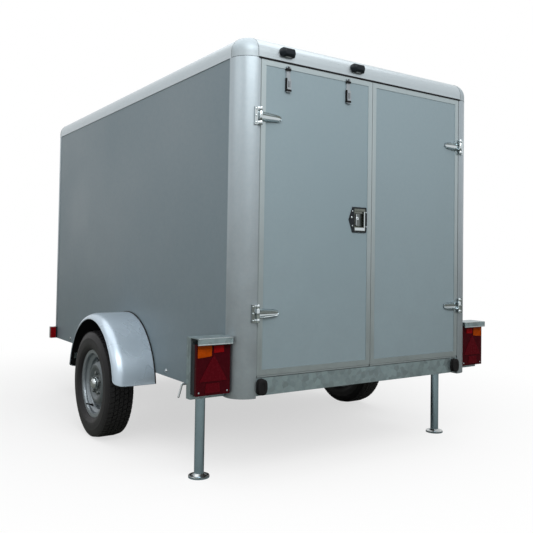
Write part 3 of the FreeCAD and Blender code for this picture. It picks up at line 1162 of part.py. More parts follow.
def jockey_wheel():
    """Small solid-tyred wheel with rounded shoulders and a hub."""
    half = JOCKEY_WHEEL_WIDTH / 2
    r = JOCKEY_WHEEL_RADIUS
    bore = JOCKEY_AXLE_RADIUS + SPINDLE_CLEARANCE
    web = half - JOCKEY_WEB_INSET
    hub_top = JOCKEY_HUB_RADIUS + JOCKEY_WEB_STEP
    tread_low = r - JOCKEY_TREAD_DEPTH
    shoulder = r - JOCKEY_SHOULDER
    flat = half - JOCKEY_SHOULDER
    outline = [(-half, bore), (half, bore), (half, JOCKEY_HUB_RADIUS), (web, hub_top),
               (web, tread_low - JOCKEY_WEB_STEP), (half, tread_low), (half, shoulder),
               ((half - JOCKEY_BULGE, r - JOCKEY_BULGE), (flat, r)), (-flat, r),
               ((-half + JOCKEY_BULGE, r - JOCKEY_BULGE), (-half, shoulder)),
               (-half, tread_low), (-web, tread_low - JOCKEY_WEB_STEP), (-web, hub_top),
               (-half, JOCKEY_HUB_RADIUS)]
    wheel = spin(outline, "yz", (0, 0, 0), (0, 1, 0))
    wheel.translate(V(JOCKEY_WHEEL_X, JOCKEY_Y, r))
    return wheel


# ---------------------------------------------------------------- write every node
os.makedirs("parts", exist_ok=True)

save("side_rails", side_rails())
save("cross_members", cross_members())
save("rear_sill", rear_sill())
save("drawbar_legs", drawbar_legs())
save("drawbar_nose", drawbar_nose())
save("coupling_head", coupling_head())
save("coupling_handle", coupling_handle())
save("axle_beam", axle_beam())
save("swing_arms", swing_arms())
save("floor_panel", floor_panel())
save("left_wall", side_wall())
save("right_wall", mirrored(side_wall()))
save("front_wall", front_wall())
save("roof_panel", roof_panel())
save("corner_posts", corner_posts())
save("roof_rails", roof_rails())
save("roof_corner_caps", roof_corner_caps())
save("mudguard_stays", mudguard_stays())
save("hinge_plates", hinge_plates())
save("lamp_brackets", both_sides(lamp_bracket()))
save("lamp_housings", both_sides(lamp_housing()))
save("lamp_lenses", both_sides(lamp_lens()))
save("rear_buffers", both_sides(rear_buffer()))
save("plate_lamps", plate_lamps())
save("marker_lamps", both_sides(marker_lamp()))
save("lead_gland", lead_gland())
save("stand_clamps", both_sides(stand_clamp()))
for side, name in ((1, "left"), (-1, "right")):
    def hand(shape):
        return shape if side > 0 else mirrored(shape)
    save(name + "_mudguard", hand(mudguard()))
    save(name + "_tyre", hand(tyre()))
    save(name + "_rim", hand(rim()))
    save(name + "_hub", hand(hub()))
    save(name + "_door_panel", door_panel(side))
    save(name + "_door_frame", door_frame(side))
    save(name + "_hinge_arms", hinge_arms(side))
    save(name + "_prop_stand", hand(prop_stand()))
save("door_lock", door_lock())
save("plate_clips", plate_clips())
save("jockey_clamp", jockey_clamp())
save("jockey_tube", jockey_tube())
save("jockey_stem", jockey_stem())
save("jockey_fork", jockey_fork())
save("jockey_wheel", jockey_wheel())
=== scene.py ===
# %% [markdown]
# A box trailer is a good first lesson in hard-surface finishes: large calm panels, brushed
# aluminium edges, zinc, chrome, rubber and coloured lamp glass, all at once.  The construction is
# already done: every panel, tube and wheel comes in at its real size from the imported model, so this
# file only adds finish and the small shapes that a plain solid leaves out.

# %% Load the frame
import json
import math
import bmesh
import bpy
from mathutils import Matrix, Vector


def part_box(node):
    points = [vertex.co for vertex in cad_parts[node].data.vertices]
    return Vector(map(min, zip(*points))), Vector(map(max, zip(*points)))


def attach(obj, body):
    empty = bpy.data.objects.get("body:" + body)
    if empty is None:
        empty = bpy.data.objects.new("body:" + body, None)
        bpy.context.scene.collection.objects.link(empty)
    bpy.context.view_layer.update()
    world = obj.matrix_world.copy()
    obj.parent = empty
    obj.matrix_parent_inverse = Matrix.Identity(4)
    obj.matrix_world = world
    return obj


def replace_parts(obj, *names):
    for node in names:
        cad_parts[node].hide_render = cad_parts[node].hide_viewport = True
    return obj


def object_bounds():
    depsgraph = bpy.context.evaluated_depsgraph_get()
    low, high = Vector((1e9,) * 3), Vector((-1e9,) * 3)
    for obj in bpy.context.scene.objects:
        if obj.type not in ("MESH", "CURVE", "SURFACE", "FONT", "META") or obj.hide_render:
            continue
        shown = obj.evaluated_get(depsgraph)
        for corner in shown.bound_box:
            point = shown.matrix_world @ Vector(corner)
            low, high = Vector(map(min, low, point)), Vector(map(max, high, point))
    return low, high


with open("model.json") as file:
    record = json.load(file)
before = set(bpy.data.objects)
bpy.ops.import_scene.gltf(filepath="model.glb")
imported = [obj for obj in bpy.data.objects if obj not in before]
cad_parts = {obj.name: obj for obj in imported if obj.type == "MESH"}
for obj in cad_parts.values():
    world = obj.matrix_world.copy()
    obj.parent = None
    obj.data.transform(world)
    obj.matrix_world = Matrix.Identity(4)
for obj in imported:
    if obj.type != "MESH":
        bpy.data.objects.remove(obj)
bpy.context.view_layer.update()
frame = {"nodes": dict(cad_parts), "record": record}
NODES = frame["nodes"]
MM = 0.001
DOOR_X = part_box("left_door_frame")[0].x
POST_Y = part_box("corner_posts")[1].y
SIDES = (1, -1)
scene = bpy.context.scene
print("rear door plane at x =", round(DOOR_X, 4), "and", len(NODES), "nodes")

# %% [markdown]
# The camera stands behind the left rear corner at about chest height, looking a little upwards.
# Its place is measured from the rear doors' plane, so it stays right if the origin moves.  A short
# turn about its own axis keeps the uprights leaning as a hand-held camera leaves them.

# %% Camera
CAMERA_BEHIND = 2.463
CAMERA_LEFT = 2.219
CAMERA_HEIGHT = 0.988
CAMERA_YAW = math.radians(34.68)
CAMERA_PITCH = math.radians(1.70)
CAMERA_ROLL = math.radians(0.84)
SENSOR = 36
FOCAL_SHARE = 675.2 / 533
SHIFT = (-0.0295, -0.0519)


def place_camera():
    """A camera with its axes worked out from yaw, pitch and roll."""
    data = bpy.data.cameras.new("camera")
    camera = bpy.data.objects.new("camera", data)
    scene.collection.objects.link(camera)
    look = Vector((math.cos(CAMERA_YAW) * math.cos(CAMERA_PITCH),
                   -math.sin(CAMERA_YAW) * math.cos(CAMERA_PITCH), math.sin(CAMERA_PITCH)))
    level = Vector((-math.sin(CAMERA_YAW), -math.cos(CAMERA_YAW), 0))
    upright = level.cross(look)
    right = math.cos(CAMERA_ROLL) * level + math.sin(CAMERA_ROLL) * upright
    up = -math.sin(CAMERA_ROLL) * level + math.cos(CAMERA_ROLL) * upright
    turn = Matrix((right, up, -look)).transposed().to_4x4()
    place = Vector((DOOR_X - CAMERA_BEHIND, CAMERA_LEFT, CAMERA_HEIGHT))
    camera.matrix_world = Matrix.Translation(place) @ turn
    data.sensor_width = SENSOR
    data.lens = SENSOR * FOCAL_SHARE
    data.shift_x, data.shift_y = SHIFT
    scene.camera = camera
    return camera


camera = place_camera()
print("camera at", [round(v, 3) for v in camera.matrix_world.translation])

# %% [markdown]
# Light comes from a big soft box overhead and a weaker one behind the camera, like an overcast
# sky.  The world is white to the eye and to polished metal and glass, and softer as a light, so
# that the panels keep the colour they are given.

# %% World and lamps
scene.view_settings.view_transform = "Standard"
SKY_LIGHT = 0.46


def build_world():
    """White to the eye and to reflections, softer as a light."""
    world = bpy.data.worlds.new("studio")
    scene.world = world
    world.use_nodes = True
    nodes = world.node_tree.nodes
    links = world.node_tree.links
    back = nodes["Background"]
    back.inputs["Color"].default_value = (1, 1, 1, 1)
    path = nodes.new("ShaderNodeLightPath")
    level = nodes.new("ShaderNodeMapRange")
    level.inputs["To Min"].default_value = SKY_LIGHT
    level.inputs["To Max"].default_value = 1.0
    seen = path.outputs["Is Camera Ray"]
    for ray in ("Is Glossy Ray", "Is Transmission Ray"):
        either = nodes.new("ShaderNodeMath")
        either.operation = "MAXIMUM"
        links.new(seen, either.inputs[0])
        links.new(path.outputs[ray], either.inputs[1])
        seen = either.outputs[0]
    links.new(seen, level.inputs["Value"])
    links.new(level.outputs["Result"], back.inputs["Strength"])


def soft_box(name, place, target, size, power):
    """A wide area lamp aimed at a point."""
    data = bpy.data.lights.new(name, "AREA")
    data.shape = "RECTANGLE"
    data.size, data.size_y = size
    data.energy = power
    lamp = bpy.data.objects.new(name, data)
    lamp.location = place
    lamp.rotation_euler = (Vector(target) - Vector(place)).to_track_quat("-Z", "Y").to_euler()
    scene.collection.objects.link(lamp)


build_world()
soft_box("sky_box", (-0.6, 0.6, 5.6), (-0.4, 0.2, 0), (7, 6), 170)
soft_box("rear_box", (-4.6, 1.1, 3.8), (-1.8, 0.3, 1.7), (3.6, 1.6), 104)
soft_box("left_box", (-1.9, 4.6, 3.6), (-1.0, 0.7, 1.0), (4, 2), 26)

# %% [markdown]
# Effects that many finishes share are shader node groups.  Each has named sockets, so a material
# reads like a recipe: a base colour, so much grain, so much dust and painted low shade.  The first
# helper makes a group with its sockets, the second adds a node and sets its plain values.

# %% Helpers for shader groups
def new_group(name, inputs, outputs):
    """An empty shader group with value, colour and vector sockets."""
    group = bpy.data.node_groups.new(name, "ShaderNodeTree")
    for direction, sockets in (("INPUT", inputs), ("OUTPUT", outputs)):
        for label, kind, default in sockets:
            socket = group.interface.new_socket(label, in_out=direction, socket_type="NodeSocket" + kind)
            if default is not None:
                socket.default_value = default
    return group, group.nodes.new("NodeGroupInput"), group.nodes.new("NodeGroupOutput")


def add_node(tree, kind, values=(), **settings):
    """One node with its settings and the unlinked values of its sockets."""
    node = tree.nodes.new("ShaderNode" + kind)
    for key, value in settings.items():
        setattr(node, key, value)
    for key, value in dict(values).items():
        node.inputs[key].default_value = value
    return node


def object_space(tree, scale=(1, 1, 1)):
    """Object coordinates, stretched by a vector."""
    place = add_node(tree, "TexCoord")
    stretch = add_node(tree, "VectorMath", operation="MULTIPLY")
    stretch.inputs[1].default_value = scale
    tree.links.new(place.outputs["Object"], stretch.inputs[0])
    return stretch.outputs[0]


def times(tree, first, second):
    """The product of two outputs."""
    product = add_node(tree, "Math", operation="MULTIPLY")
    tree.links.new(first, product.inputs[0])
    tree.links.new(second, product.inputs[1])
    return product.outputs[0]


# %% [markdown]
# Grain keeps a plain colour from looking like plastic: a fine noise for roughness and bump, and a
# slow one that drifts the colour over a hand's breadth.  Brushing is the same noise stretched
# along the rolled direction, and spangle is the frost of crystals in hot-dip zinc.

# %% Grain, brushing and spangle groups
def grain_group():
    """Fine height and slow tone variation."""
    group, source, sink = new_group("grain", [("Scale", "Float", 400.0), ("Drift", "Float", 3.0)],
                                    [("Height", "Float", None), ("Tone", "Float", None)])
    spot = object_space(group)
    fine = add_node(group, "TexNoise", {"Detail": 4.0, "Roughness": 0.6})
    slow = add_node(group, "TexNoise", {"Detail": 3.0, "Roughness": 0.55})
    for node, label, out in ((fine, "Scale", "Height"), (slow, "Drift", "Tone")):
        group.links.new(spot, node.inputs["Vector"])
        group.links.new(source.outputs[label], node.inputs["Scale"])
        group.links.new(node.outputs["Fac"], sink.inputs[out])
    return group


def brushed_group(name, stretch):
    """Fine parallel lines along one direction of the piece."""
    group, source, sink = new_group(name, [("Scale", "Float", 12.0)], [("Lines", "Float", None)])
    lines = add_node(group, "TexNoise", {"Detail": 5.0, "Roughness": 0.7})
    group.links.new(object_space(group, stretch), lines.inputs["Vector"])
    group.links.new(source.outputs["Scale"], lines.inputs["Scale"])
    group.links.new(lines.outputs["Fac"], sink.inputs["Lines"])
    return group


def spangle_group():
    """Crystal patches with wandering borders."""
    group, source, sink = new_group("spangle", [("Scale", "Float", 90.0)], [("Tone", "Float", None)])
    spot = object_space(group)
    bend = add_node(group, "TexNoise", {"Scale": 30.0, "Detail": 3.0})
    mix = add_node(group, "VectorMath", operation="MULTIPLY_ADD")
    mix.inputs[1].default_value = (0.02, 0.02, 0.02)
    cells = add_node(group, "TexVoronoi")
    tone = add_node(group, "SeparateColor")
    group.links.new(spot, bend.inputs["Vector"])
    group.links.new(bend.outputs["Color"], mix.inputs[0])
    group.links.new(spot, mix.inputs[2])
    group.links.new(mix.outputs[0], cells.inputs["Vector"])
    group.links.new(source.outputs["Scale"], cells.inputs["Scale"])
    group.links.new(cells.outputs["Color"], tone.inputs[0])
    group.links.new(tone.outputs[0], sink.inputs["Tone"])
    return group


# %% [markdown]
# Wear finds convex edges, and the hollows beside them are darkened as painted shade, from how pointed
# the surface is; both are broken up by noise.  Dust, darker towards the ground and gone by a set height,
# also paints the shade low on the body.

# %% Wear, painted hollow shade, and dust with low painted shade
def edge_group():
    """Masks for wear on sharp edges and for painted shade in hollows."""
    group, source, sink = new_group("edges", [("Wear", "Float", 0.5), ("Grime", "Float", 0.5)],
                                    [("Wear", "Float", None), ("Grime", "Float", None)])
    shape = add_node(group, "NewGeometry")
    noise = add_node(group, "TexNoise", {"Scale": 55.0, "Detail": 5.0})
    group.links.new(object_space(group), noise.inputs["Vector"])
    # the second band marks hollows, which are darkened as painted shade
    for label, low, high in (("Wear", 0.52, 0.62), ("Grime", 0.48, 0.40)):
        band = add_node(group, "MapRange", {"From Min": low, "From Max": high})
        group.links.new(shape.outputs["Pointiness"], band.inputs["Value"])
        broken = times(group, band.outputs["Result"], noise.outputs["Fac"])
        group.links.new(times(group, broken, source.outputs[label]), sink.inputs[label])
    return group


def dust_and_shade_group():
    """Dust and painted shade: darker towards the ground and blotchy."""
    group, source, sink = new_group("road_dust_and_low_shade", [("Height", "Float", 0.7), ("Amount", "Float", 0.5)],
                                    [("Mask", "Float", None)])
    place = add_node(group, "TexCoord")
    split = add_node(group, "SeparateXYZ")
    fade = add_node(group, "MapRange", {"From Max": 0.0, "To Min": 0.0, "To Max": 1.0})
    noise = add_node(group, "TexNoise", {"Scale": 9.0, "Detail": 6.0, "Roughness": 0.65})
    group.links.new(place.outputs["Object"], split.inputs[0])
    group.links.new(place.outputs["Object"], noise.inputs["Vector"])
    group.links.new(split.outputs["Z"], fade.inputs["Value"])
    group.links.new(source.outputs["Height"], fade.inputs["From Min"])
    broken = times(group, fade.outputs["Result"], noise.outputs["Fac"])
    group.links.new(times(group, broken, source.outputs["Amount"]), sink.inputs["Mask"])
    return group


GRAIN = grain_group()
SPANGLE = spangle_group()
EDGES = edge_group()
DUST_AND_SHADE = dust_and_shade_group()
BRUSHED = {"upright": brushed_group("brushed_upright", (30, 30, 0.6)),
           "level": brushed_group("brushed_level", (1.2, 1.2, 30))}
print("shader groups:", [g.name for g in bpy.data.node_groups])


# %% [markdown]
# Every finish is then one call: a Principled shader whose colour is drifted by the grain's tone,
# worn at the edges, darkened in the hollows as painted shade and dusted near the road, the dust on
# the body also painting its shade towards the bottom, with the fine grain as bump.
# Numbers that are the same all over stay on the shader's own sockets.

# %% The finish maker
# hollows are darkened towards this near-black as painted shade
HOLLOW_SHADE_COLOUR = (0.02, 0.02, 0.02)
# dust colour; set high up the body, the same darkening also paints its shade towards the bottom
DUST_AND_SHADE_COLOUR = (0.10, 0.095, 0.085)


def finish(name, colour, rough, metal=0.0, tone=0.12, grain=400.0, drift=3.0, bump=0.05, wear=0.3,
           wear_colour=(0.5, 0.52, 0.53), hollow_shade=0.6, dust=0.35, dust_and_shade_height=0.7, brushed=None, spangle=None,
           **sockets):
    """A material built from the shared groups."""
    material = bpy.data.materials.new(name)
    material.use_nodes = True
    tree = material.node_tree
    shader = tree.nodes["Principled BSDF"]
    shader.inputs["Metallic"].default_value = metal
    for key, value in sockets.items():
        shader.inputs[key.replace("_", " ")].default_value = value

    def use(group, **values):
        node = tree.nodes.new("ShaderNodeGroup")
        node.node_tree = group
        for key, value in values.items():
            node.inputs[key].default_value = value
        return node

    def blend(mask, low, high):
        mix = add_node(tree, "Mix", data_type="RGBA")
        tree.links.new(mask, mix.inputs[0])
        for socket, value in ((mix.inputs[6], low), (mix.inputs[7], high)):
            if isinstance(value, tuple):
                socket.default_value = (*value, 1.0)
            else:
                tree.links.new(value, socket)
        return mix.outputs[2]

    fine = use(GRAIN, Scale=grain, Drift=drift)
    tone_source = fine.outputs["Tone"]
    height = fine.outputs["Height"]
    if brushed:
        height = use(BRUSHED[brushed]).outputs["Lines"]
    if spangle:
        tone_source = use(SPANGLE, Scale=spangle).outputs["Tone"]
    edges = use(EDGES, Wear=wear, Grime=hollow_shade)
    dark = tuple(c * (1 - tone) for c in colour)
    light = tuple(min(1.0, c * (1 + tone)) for c in colour)
    shade = blend(tone_source, dark, light)
    worn = blend(edges.outputs["Wear"], shade, wear_colour)
    # painted shade: the hollows darkened towards near-black
    hollow_shaded = blend(edges.outputs["Grime"], worn, HOLLOW_SHADE_COLOUR)
    # dust near the road, and on panels, posts and frames painted shade darkening them towards the bottom
    dusted_and_shaded = blend(use(DUST_AND_SHADE, Height=dust_and_shade_height, Amount=dust).outputs["Mask"], hollow_shaded, DUST_AND_SHADE_COLOUR)
    tree.links.new(dusted_and_shaded, shader.inputs["Base Color"])
    gloss = add_node(tree, "MapRange", {"From Min": 0.3, "From Max": 0.7, "To Min": max(rough - 0.07, 0.02),
                                        "To Max": min(rough + 0.09, 1.0)})
    tree.links.new(height if brushed else fine.outputs["Tone"], gloss.inputs["Value"])
    tree.links.new(gloss.outputs["Result"], shader.inputs["Roughness"])
    relief = add_node(tree, "Bump", {"Strength": bump, "Distance": 0.001})
    tree.links.new(height, relief.inputs["Height"])
    tree.links.new(relief.outputs["Normal"], shader.inputs["Normal"])
    return material


# %% [markdown]
# The body's finishes.  The panels are a satin silver-grey coating on flat sheet; the door panels
# get a lighter copy of it, painted light where the doors face the lamps.  The edges are brushed
# anodised extrusions, upright on the posts and level on the rails, which is why there are two of
# them; the level one is also lighter, painted light on the upward-facing rails.  Dust high up the
# panels, posts and frames also paints their shade towards the bottom.  The chassis is hot-dip zinc
# with its crystal patches.

# %% Body finishes
PANEL = finish("grey_panel", (0.172, 0.232, 0.268), 0.42, tone=0.05, grain=900, drift=1.2, bump=0.02, wear=0.1,
               dust=0.35, dust_and_shade_height=1.5, Specular_IOR_Level=0.3)
# door panels: the wall panel colour made lighter, painted light where the doors face the lamps
LIT_DOOR_PANEL = finish("door_panel", (0.248, 0.328, 0.368), 0.42, tone=0.05, grain=900, drift=1.2, bump=0.02,
                    wear=0.1, dust=0.3, dust_and_shade_height=1.5, Specular_IOR_Level=0.3)
ROOF = finish("roof_skin", (0.30, 0.335, 0.355), 0.5, tone=0.06, wear=0.1, dust=0.0)
POST = finish("aluminium_upright", (0.34, 0.405, 0.445), 0.38, metal=0.8, tone=0.06, bump=0.14, brushed="upright",
              dust=0.7, dust_and_shade_height=1.6)
# level rails: lighter than the upright finish, painted light on the upward-facing rails
LIT_RAIL = finish("aluminium_level_lit", (0.44, 0.505, 0.54), 0.34, metal=0.8, tone=0.06, bump=0.12, brushed="level",
              dust=0)
FRAME = finish("door_profile", (0.37, 0.44, 0.46), 0.36, metal=0.8, tone=0.05, bump=0.1, brushed="upright",
               dust=0.6, dust_and_shade_height=1.5)
CAST = finish("cast_aluminium", (0.36, 0.42, 0.455), 0.5, metal=0.5, tone=0.05, grain=700, dust=0)
ZINC = finish("galvanised_steel", (0.215, 0.295, 0.315), 0.42, metal=0.75, tone=0.24, spangle=38.0, bump=0.12,
              dust=0.35)
BRIGHT_ZINC = finish("bright_zinc", (0.48, 0.51, 0.52), 0.24, metal=0.95, tone=0.1, dust=0.2)
TUBE = finish("stand_steel", (0.41, 0.55, 0.65), 0.16, metal=1.0, tone=0.3, brushed="upright", bump=0.06, dust=0.1)
GUARD = finish("silver_mudguard", (0.47, 0.56, 0.64), 0.28, metal=0.45, tone=0.04, grain=1200, bump=0.01,
               wear=0.0, hollow_shade=0.0, dust=0.0)
# guard underside: near-black, painted shade together with road dirt
UNDERSIDE_SHADE_AND_DIRT = finish("mudguard_underside_shade_and_dirt", (0.012, 0.013, 0.014), 0.8, tone=0.3, bump=0.3, dust=0.1,
               Specular_IOR_Level=0.1)
CHROME = finish("chrome", (0.52, 0.58, 0.60), 0.08, metal=1.0, tone=0.04, bump=0.01, wear=0.1, hollow_shade=1.8, dust=0.1)
# chrome darkened for the lock's tray and recess: painted shade
SHADED_CHROME = finish("lock_recess", (0.10, 0.115, 0.095), 0.25, metal=0.9, tone=0.35, drift=90, hollow_shade=1.5, dust=0)
WOOD = finish("film_plywood", (0.12, 0.075, 0.045), 0.5, tone=0.25, brushed="level", bump=0.1, wear=0.2, dust=0.2)
BLACK = finish("black_plastic", (0.007, 0.011, 0.015), 0.42, tone=0.2, grain=1500, bump=0.15, wear=0.2,
               wear_colour=(0.06, 0.06, 0.06), dust=0.12, Specular_IOR_Level=0.18)
RUBBER = finish("black_rubber", (0.007, 0.007, 0.008), 0.62, tone=0.25, grain=600, bump=0.2, wear=0.2,
                wear_colour=(0.04, 0.04, 0.04), dust=0.15, Specular_IOR_Level=0.12)
# door seals: the black rubber made grey, painted light in the door gaps
LIGHTENED_SEAL = finish("door_seal_painted_light", (0.26, 0.30, 0.31), 0.55, tone=0.2, grain=600, bump=0.1, wear=0.0, dust=0.2,
              Specular_IOR_Level=0.2)
SEALANT = finish("dark_sealant", (0.06, 0.075, 0.08), 0.6, tone=0.2, wear=0.0, dust=0.1, Specular_IOR_Level=0.2)
TYRE = finish("tyre_rubber", (0.008, 0.008, 0.010), 0.5, tone=0.3, grain=500, bump=0.25, wear=0.5,
              wear_colour=(0.02, 0.02, 0.02), dust=0.14, dust_and_shade_height=0.75, Specular_IOR_Level=0.26)
RIM = finish("silver_rim", (0.26, 0.30, 0.33), 0.3, metal=0.6, tone=0.06, bump=0.03, dust=0.3)
# wheel disc: the rim's paint darkened, painted shade inside the wheel
SHADED_DISC = finish("wheel_disc_painted_shade", (0.14, 0.165, 0.18), 0.34, metal=0.6, tone=0.2, drift=25, bump=0.05, hollow_shade=1.4, dust=0.3)
STEEL = finish("dull_steel", (0.12, 0.14, 0.14), 0.32, metal=0.8, tone=0.2, dust=0.1)
CLIP = finish("clip_steel", (0.27, 0.31, 0.34), 0.34, metal=0.6, tone=0.1, dust=0)
LENS_LOOK = dict(wear=0.0, dust=0, Specular_IOR_Level=0.06)
RED = finish("red_lens", (0.050, 0.002, 0.005), 0.2, tone=0.25, drift=60, **LENS_LOOK)
BRIGHT_RED = finish("bright_red_lens", (0.24, 0.003, 0.005), 0.2, tone=0.35, drift=60, **LENS_LOOK)
REFLECTOR = finish("reflector_lens", (0.085, 0.002, 0.006), 0.24, tone=0.2, drift=90, **LENS_LOOK)
AMBER = finish("amber_lens", (0.36, 0.050, 0.001), 0.2, tone=0.45, drift=40, **LENS_LOOK)
CLEAR = finish("clear_lens", (0.5, 0.52, 0.53), 0.16, tone=0.05, dust=0)
SLOT_FINISH = {
    "grey_panel": PANEL, "roof_skin": ROOF, "aluminium_profile": LIT_RAIL, "cast_aluminium": CAST,
    "galvanised_steel": ZINC, "zinc_plated_steel": BRIGHT_ZINC, "stand_steel": TUBE, "silver_mudguard": GUARD,
    "chrome": CHROME, "plywood": WOOD, "black_plastic": BLACK, "black_rubber": RUBBER, "tyre_rubber": TYRE,
    "silver_rim": RIM, "hub_steel": BRIGHT_ZINC, "clip_steel": STEEL, "red_lens": RED, "marker_lens": RED}
NODE_FINISH = {
    "corner_posts": POST, "stand_clamps": BRIGHT_ZINC, "left_door_panel": LIT_DOOR_PANEL,
    "right_door_panel": LIT_DOOR_PANEL, "left_door_frame": FRAME, "right_door_frame": FRAME}
for entry in frame["record"]["subparts"]:
    mesh = NODES[entry["node"]].data
    mesh.materials.clear()
    mesh.materials.append(NODE_FINISH.get(entry["node"], SLOT_FINISH[entry["material_slot"]]))

# %% [markdown]
# Small shapes are gathered in bmesh: a kit of blocks and hulls with softened edges, lathed forms,
# swept beads and shells.  One piece may hold many of them, so a row of bolts stays one light mesh.

# %% A small kit for meshes
SHARP = math.radians(25)


def soften(mesh, faces, width, segments=2):
    """Round the sharp edges of some faces."""
    edges = list({e for f in faces for e in f.edges if e.is_manifold and e.calc_face_angle(0) > SHARP})
    if width > 0 and edges:
        bmesh.ops.bevel(mesh, geom=edges, offset=width, segments=segments, profile=0.6, affect="EDGES",
                        clamp_overlap=True)


class Kit:
    """Collects geometry for one piece, then makes its object."""

    def __init__(self):
        self.mesh = bmesh.new()

    def outline(self, points, offset, soft=0.0, segments=2):
        """A flat outline drawn out along a vector, with rounded edges."""
        near = [self.mesh.verts.new(p) for p in points]
        far = [self.mesh.verts.new(Vector(p) + Vector(offset)) for p in points]
        faces = [self.mesh.faces.new(near), self.mesh.faces.new(list(reversed(far)))]
        for i, point in enumerate(near):
            j = (i + 1) % len(near)
            faces.append(self.mesh.faces.new((near[j], point, far[i], far[j])))
        soften(self.mesh, faces, soft, segments)
        return self

    def block(self, low, high, soft=0.0, segments=2):
        """A block between two corners with rounded edges."""
        x, y, z = low
        points = [(x, y, z), (x, high[1], z), (x, high[1], high[2]), (x, y, high[2])]
        return self.outline(points, (high[0] - x, 0, 0), soft, segments)

    def hull(self, points, soft=0.0, segments=2):
        """The smallest convex shape round some points, with rounded edges."""
        shape = bmesh.new()
        verts = [shape.verts.new(p) for p in points]
        bmesh.ops.convex_hull(shape, input=verts)
        bmesh.ops.dissolve_limit(shape, angle_limit=0.02, verts=shape.verts, edges=shape.edges)
        soften(shape, list(shape.faces), soft, segments)
        mesh = bpy.data.meshes.new("hull")
        shape.to_mesh(mesh)
        shape.free()
        self.mesh.from_mesh(mesh)
        bpy.data.meshes.remove(mesh)
        return self

    def rings(self, rings, closed=False, capped=True):
        """Skin a list of vertex rings; a ring of one vertex closes to a point."""
        pairs = list(zip(rings, rings[1:])) + ([(rings[-1], rings[0])] if closed else [])
        steps = max(len(ring) for ring in rings)
        for a, b in pairs:
            for i in range(steps):
                j = (i + 1) % steps
                if len(a) == 1 and len(b) > 1:
                    self.mesh.faces.new((a[0], b[i], b[j]))
                elif len(b) == 1 and len(a) > 1:
                    self.mesh.faces.new((a[j], a[i], b[0]))
                elif len(a) > 1:
                    self.mesh.faces.new((a[j], a[i], b[i], b[j]))
        if capped and not closed:
            for ring in (rings[0], rings[-1]):
                if len(ring) > 2:
                    self.mesh.faces.new(ring)
        return self

    def lathe(self, profile, centre, axis, steps=48, closed=False):
        """A profile of (radius, distance along) turned about an axis."""
        turn = Vector((0, 0, 1)).rotation_difference(Vector(axis))
        rings = []
        for radius, along in profile:
            count = steps if radius > 1e-6 else 1
            ring = []
            for i in range(count):
                a = 2 * math.pi * i / steps
                local = Vector((radius * math.cos(a), radius * math.sin(a), along))
                ring.append(self.mesh.verts.new(Vector(centre) + turn @ local))
            rings.append(ring)
        return self.rings(rings, closed)

    def sweep(self, path, radius, sides=10):
        """A round bead along a path."""
        path = [Vector(p) for p in path]
        ahead = [(b - a).normalized() for a, b in zip(path, path[1:])]
        ahead = [ahead[0]] + [(a + b).normalized() for a, b in zip(ahead, ahead[1:])] + [ahead[-1]]
        across = ahead[0].orthogonal().normalized()
        rings = []
        for point, way in zip(path, ahead):
            across = (across - across.dot(way) * way).normalized()
            other = way.cross(across)
            ring = []
            for i in range(sides):
                a = 2 * math.pi * i / sides
                ring.append(self.mesh.verts.new(point + radius * (math.cos(a) * across + math.sin(a) * other)))
            rings.append(ring)
        return self.rings(rings)

    def shell(self, outer, inner, inner_index=0):
        """Two grids of points joined round their border into a closed skin."""
        a = [[self.mesh.verts.new(p) for p in row] for row in outer]
        b = [[self.mesh.verts.new(p) for p in row] for row in inner]
        last_row = len(a) - 1
        last = len(a[0]) - 1
        for i in range(last_row):
            for j in range(last):
                self.mesh.faces.new((a[i][j], a[i][j + 1], a[i + 1][j + 1], a[i + 1][j]))
                face = self.mesh.faces.new((b[i][j], b[i + 1][j], b[i + 1][j + 1], b[i][j + 1]))
                face.material_index = inner_index
        border = [(i, 0) for i in range(last_row)] + [(last_row, j) for j in range(last)]
        border += [(i, last) for i in range(last_row, 0, -1)] + [(0, j) for j in range(last, 0, -1)]
        for (i, j), (k, m) in zip(border, border[1:] + border[:1]):
            self.mesh.faces.new((a[i][j], a[k][m], b[k][m], b[i][j]))
        return self

    def bolt(self, centre, axis, radius, height, sides=6):
        """A bolt head on a washer."""
        washer = [(0, 0), (1.45, 0), (1.5, 0.12), (1.45, 0.22), (0, 0.22)]
        head = [(0, 0.2), (1, 0.2), (1, 0.85), (0.85, 1), (0, 1)]
        self.lathe([(r * radius, h * height) for r, h in washer], centre, axis, 24)
        return self.lathe([(r * radius, h * height) for r, h in head], centre, axis, sides)

    def screw(self, centre, axis, radius):
        """A low round screw head."""
        head = [(0, 0), (1, 0), (0.9, 0.35), (0.5, 0.55), (0, 0.58)]
        return self.lathe([(r * radius, h * radius) for r, h in head], centre, axis, 20)

    def make(self, name, body, slot, *materials, smooth=35):
        """The finished object, riding on a body."""
        bmesh.ops.recalc_face_normals(self.mesh, faces=self.mesh.faces)
        mesh = bpy.data.meshes.new(name)
        self.mesh.to_mesh(mesh)
        self.mesh.free()
        piece = bpy.data.objects.new(name, mesh)
        scene.collection.objects.link(piece)
        for material in materials:
            mesh.materials.append(material)
        mesh.shade_smooth()
        mesh.set_sharp_from_angle(angle=math.radians(smooth))
        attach(piece, body)
        return piece


def side_name(side):
    """The word for a side of the trailer."""
    return "left" if side > 0 else "right"


def spaced(low, high, count):
    """Evenly spaced numbers, both ends included."""
    return [low + (high - low) * i / (count - 1) for i in range(count)]


def scaled(table):
    """Pairs of millimetres as pairs of metres."""
    return [(a * MM, b * MM) for a, b in table]


def ordered(first, second):
    """Two numbers, the smaller one first."""
    return (first, second) if first < second else (second, first)


# %% [markdown]
# A tyre reads as a tyre through its blocks.  The carcass is a lathed section with fine rings on
# the sidewall; the tread blocks are set round it in rows, each row shifted by half a pitch.

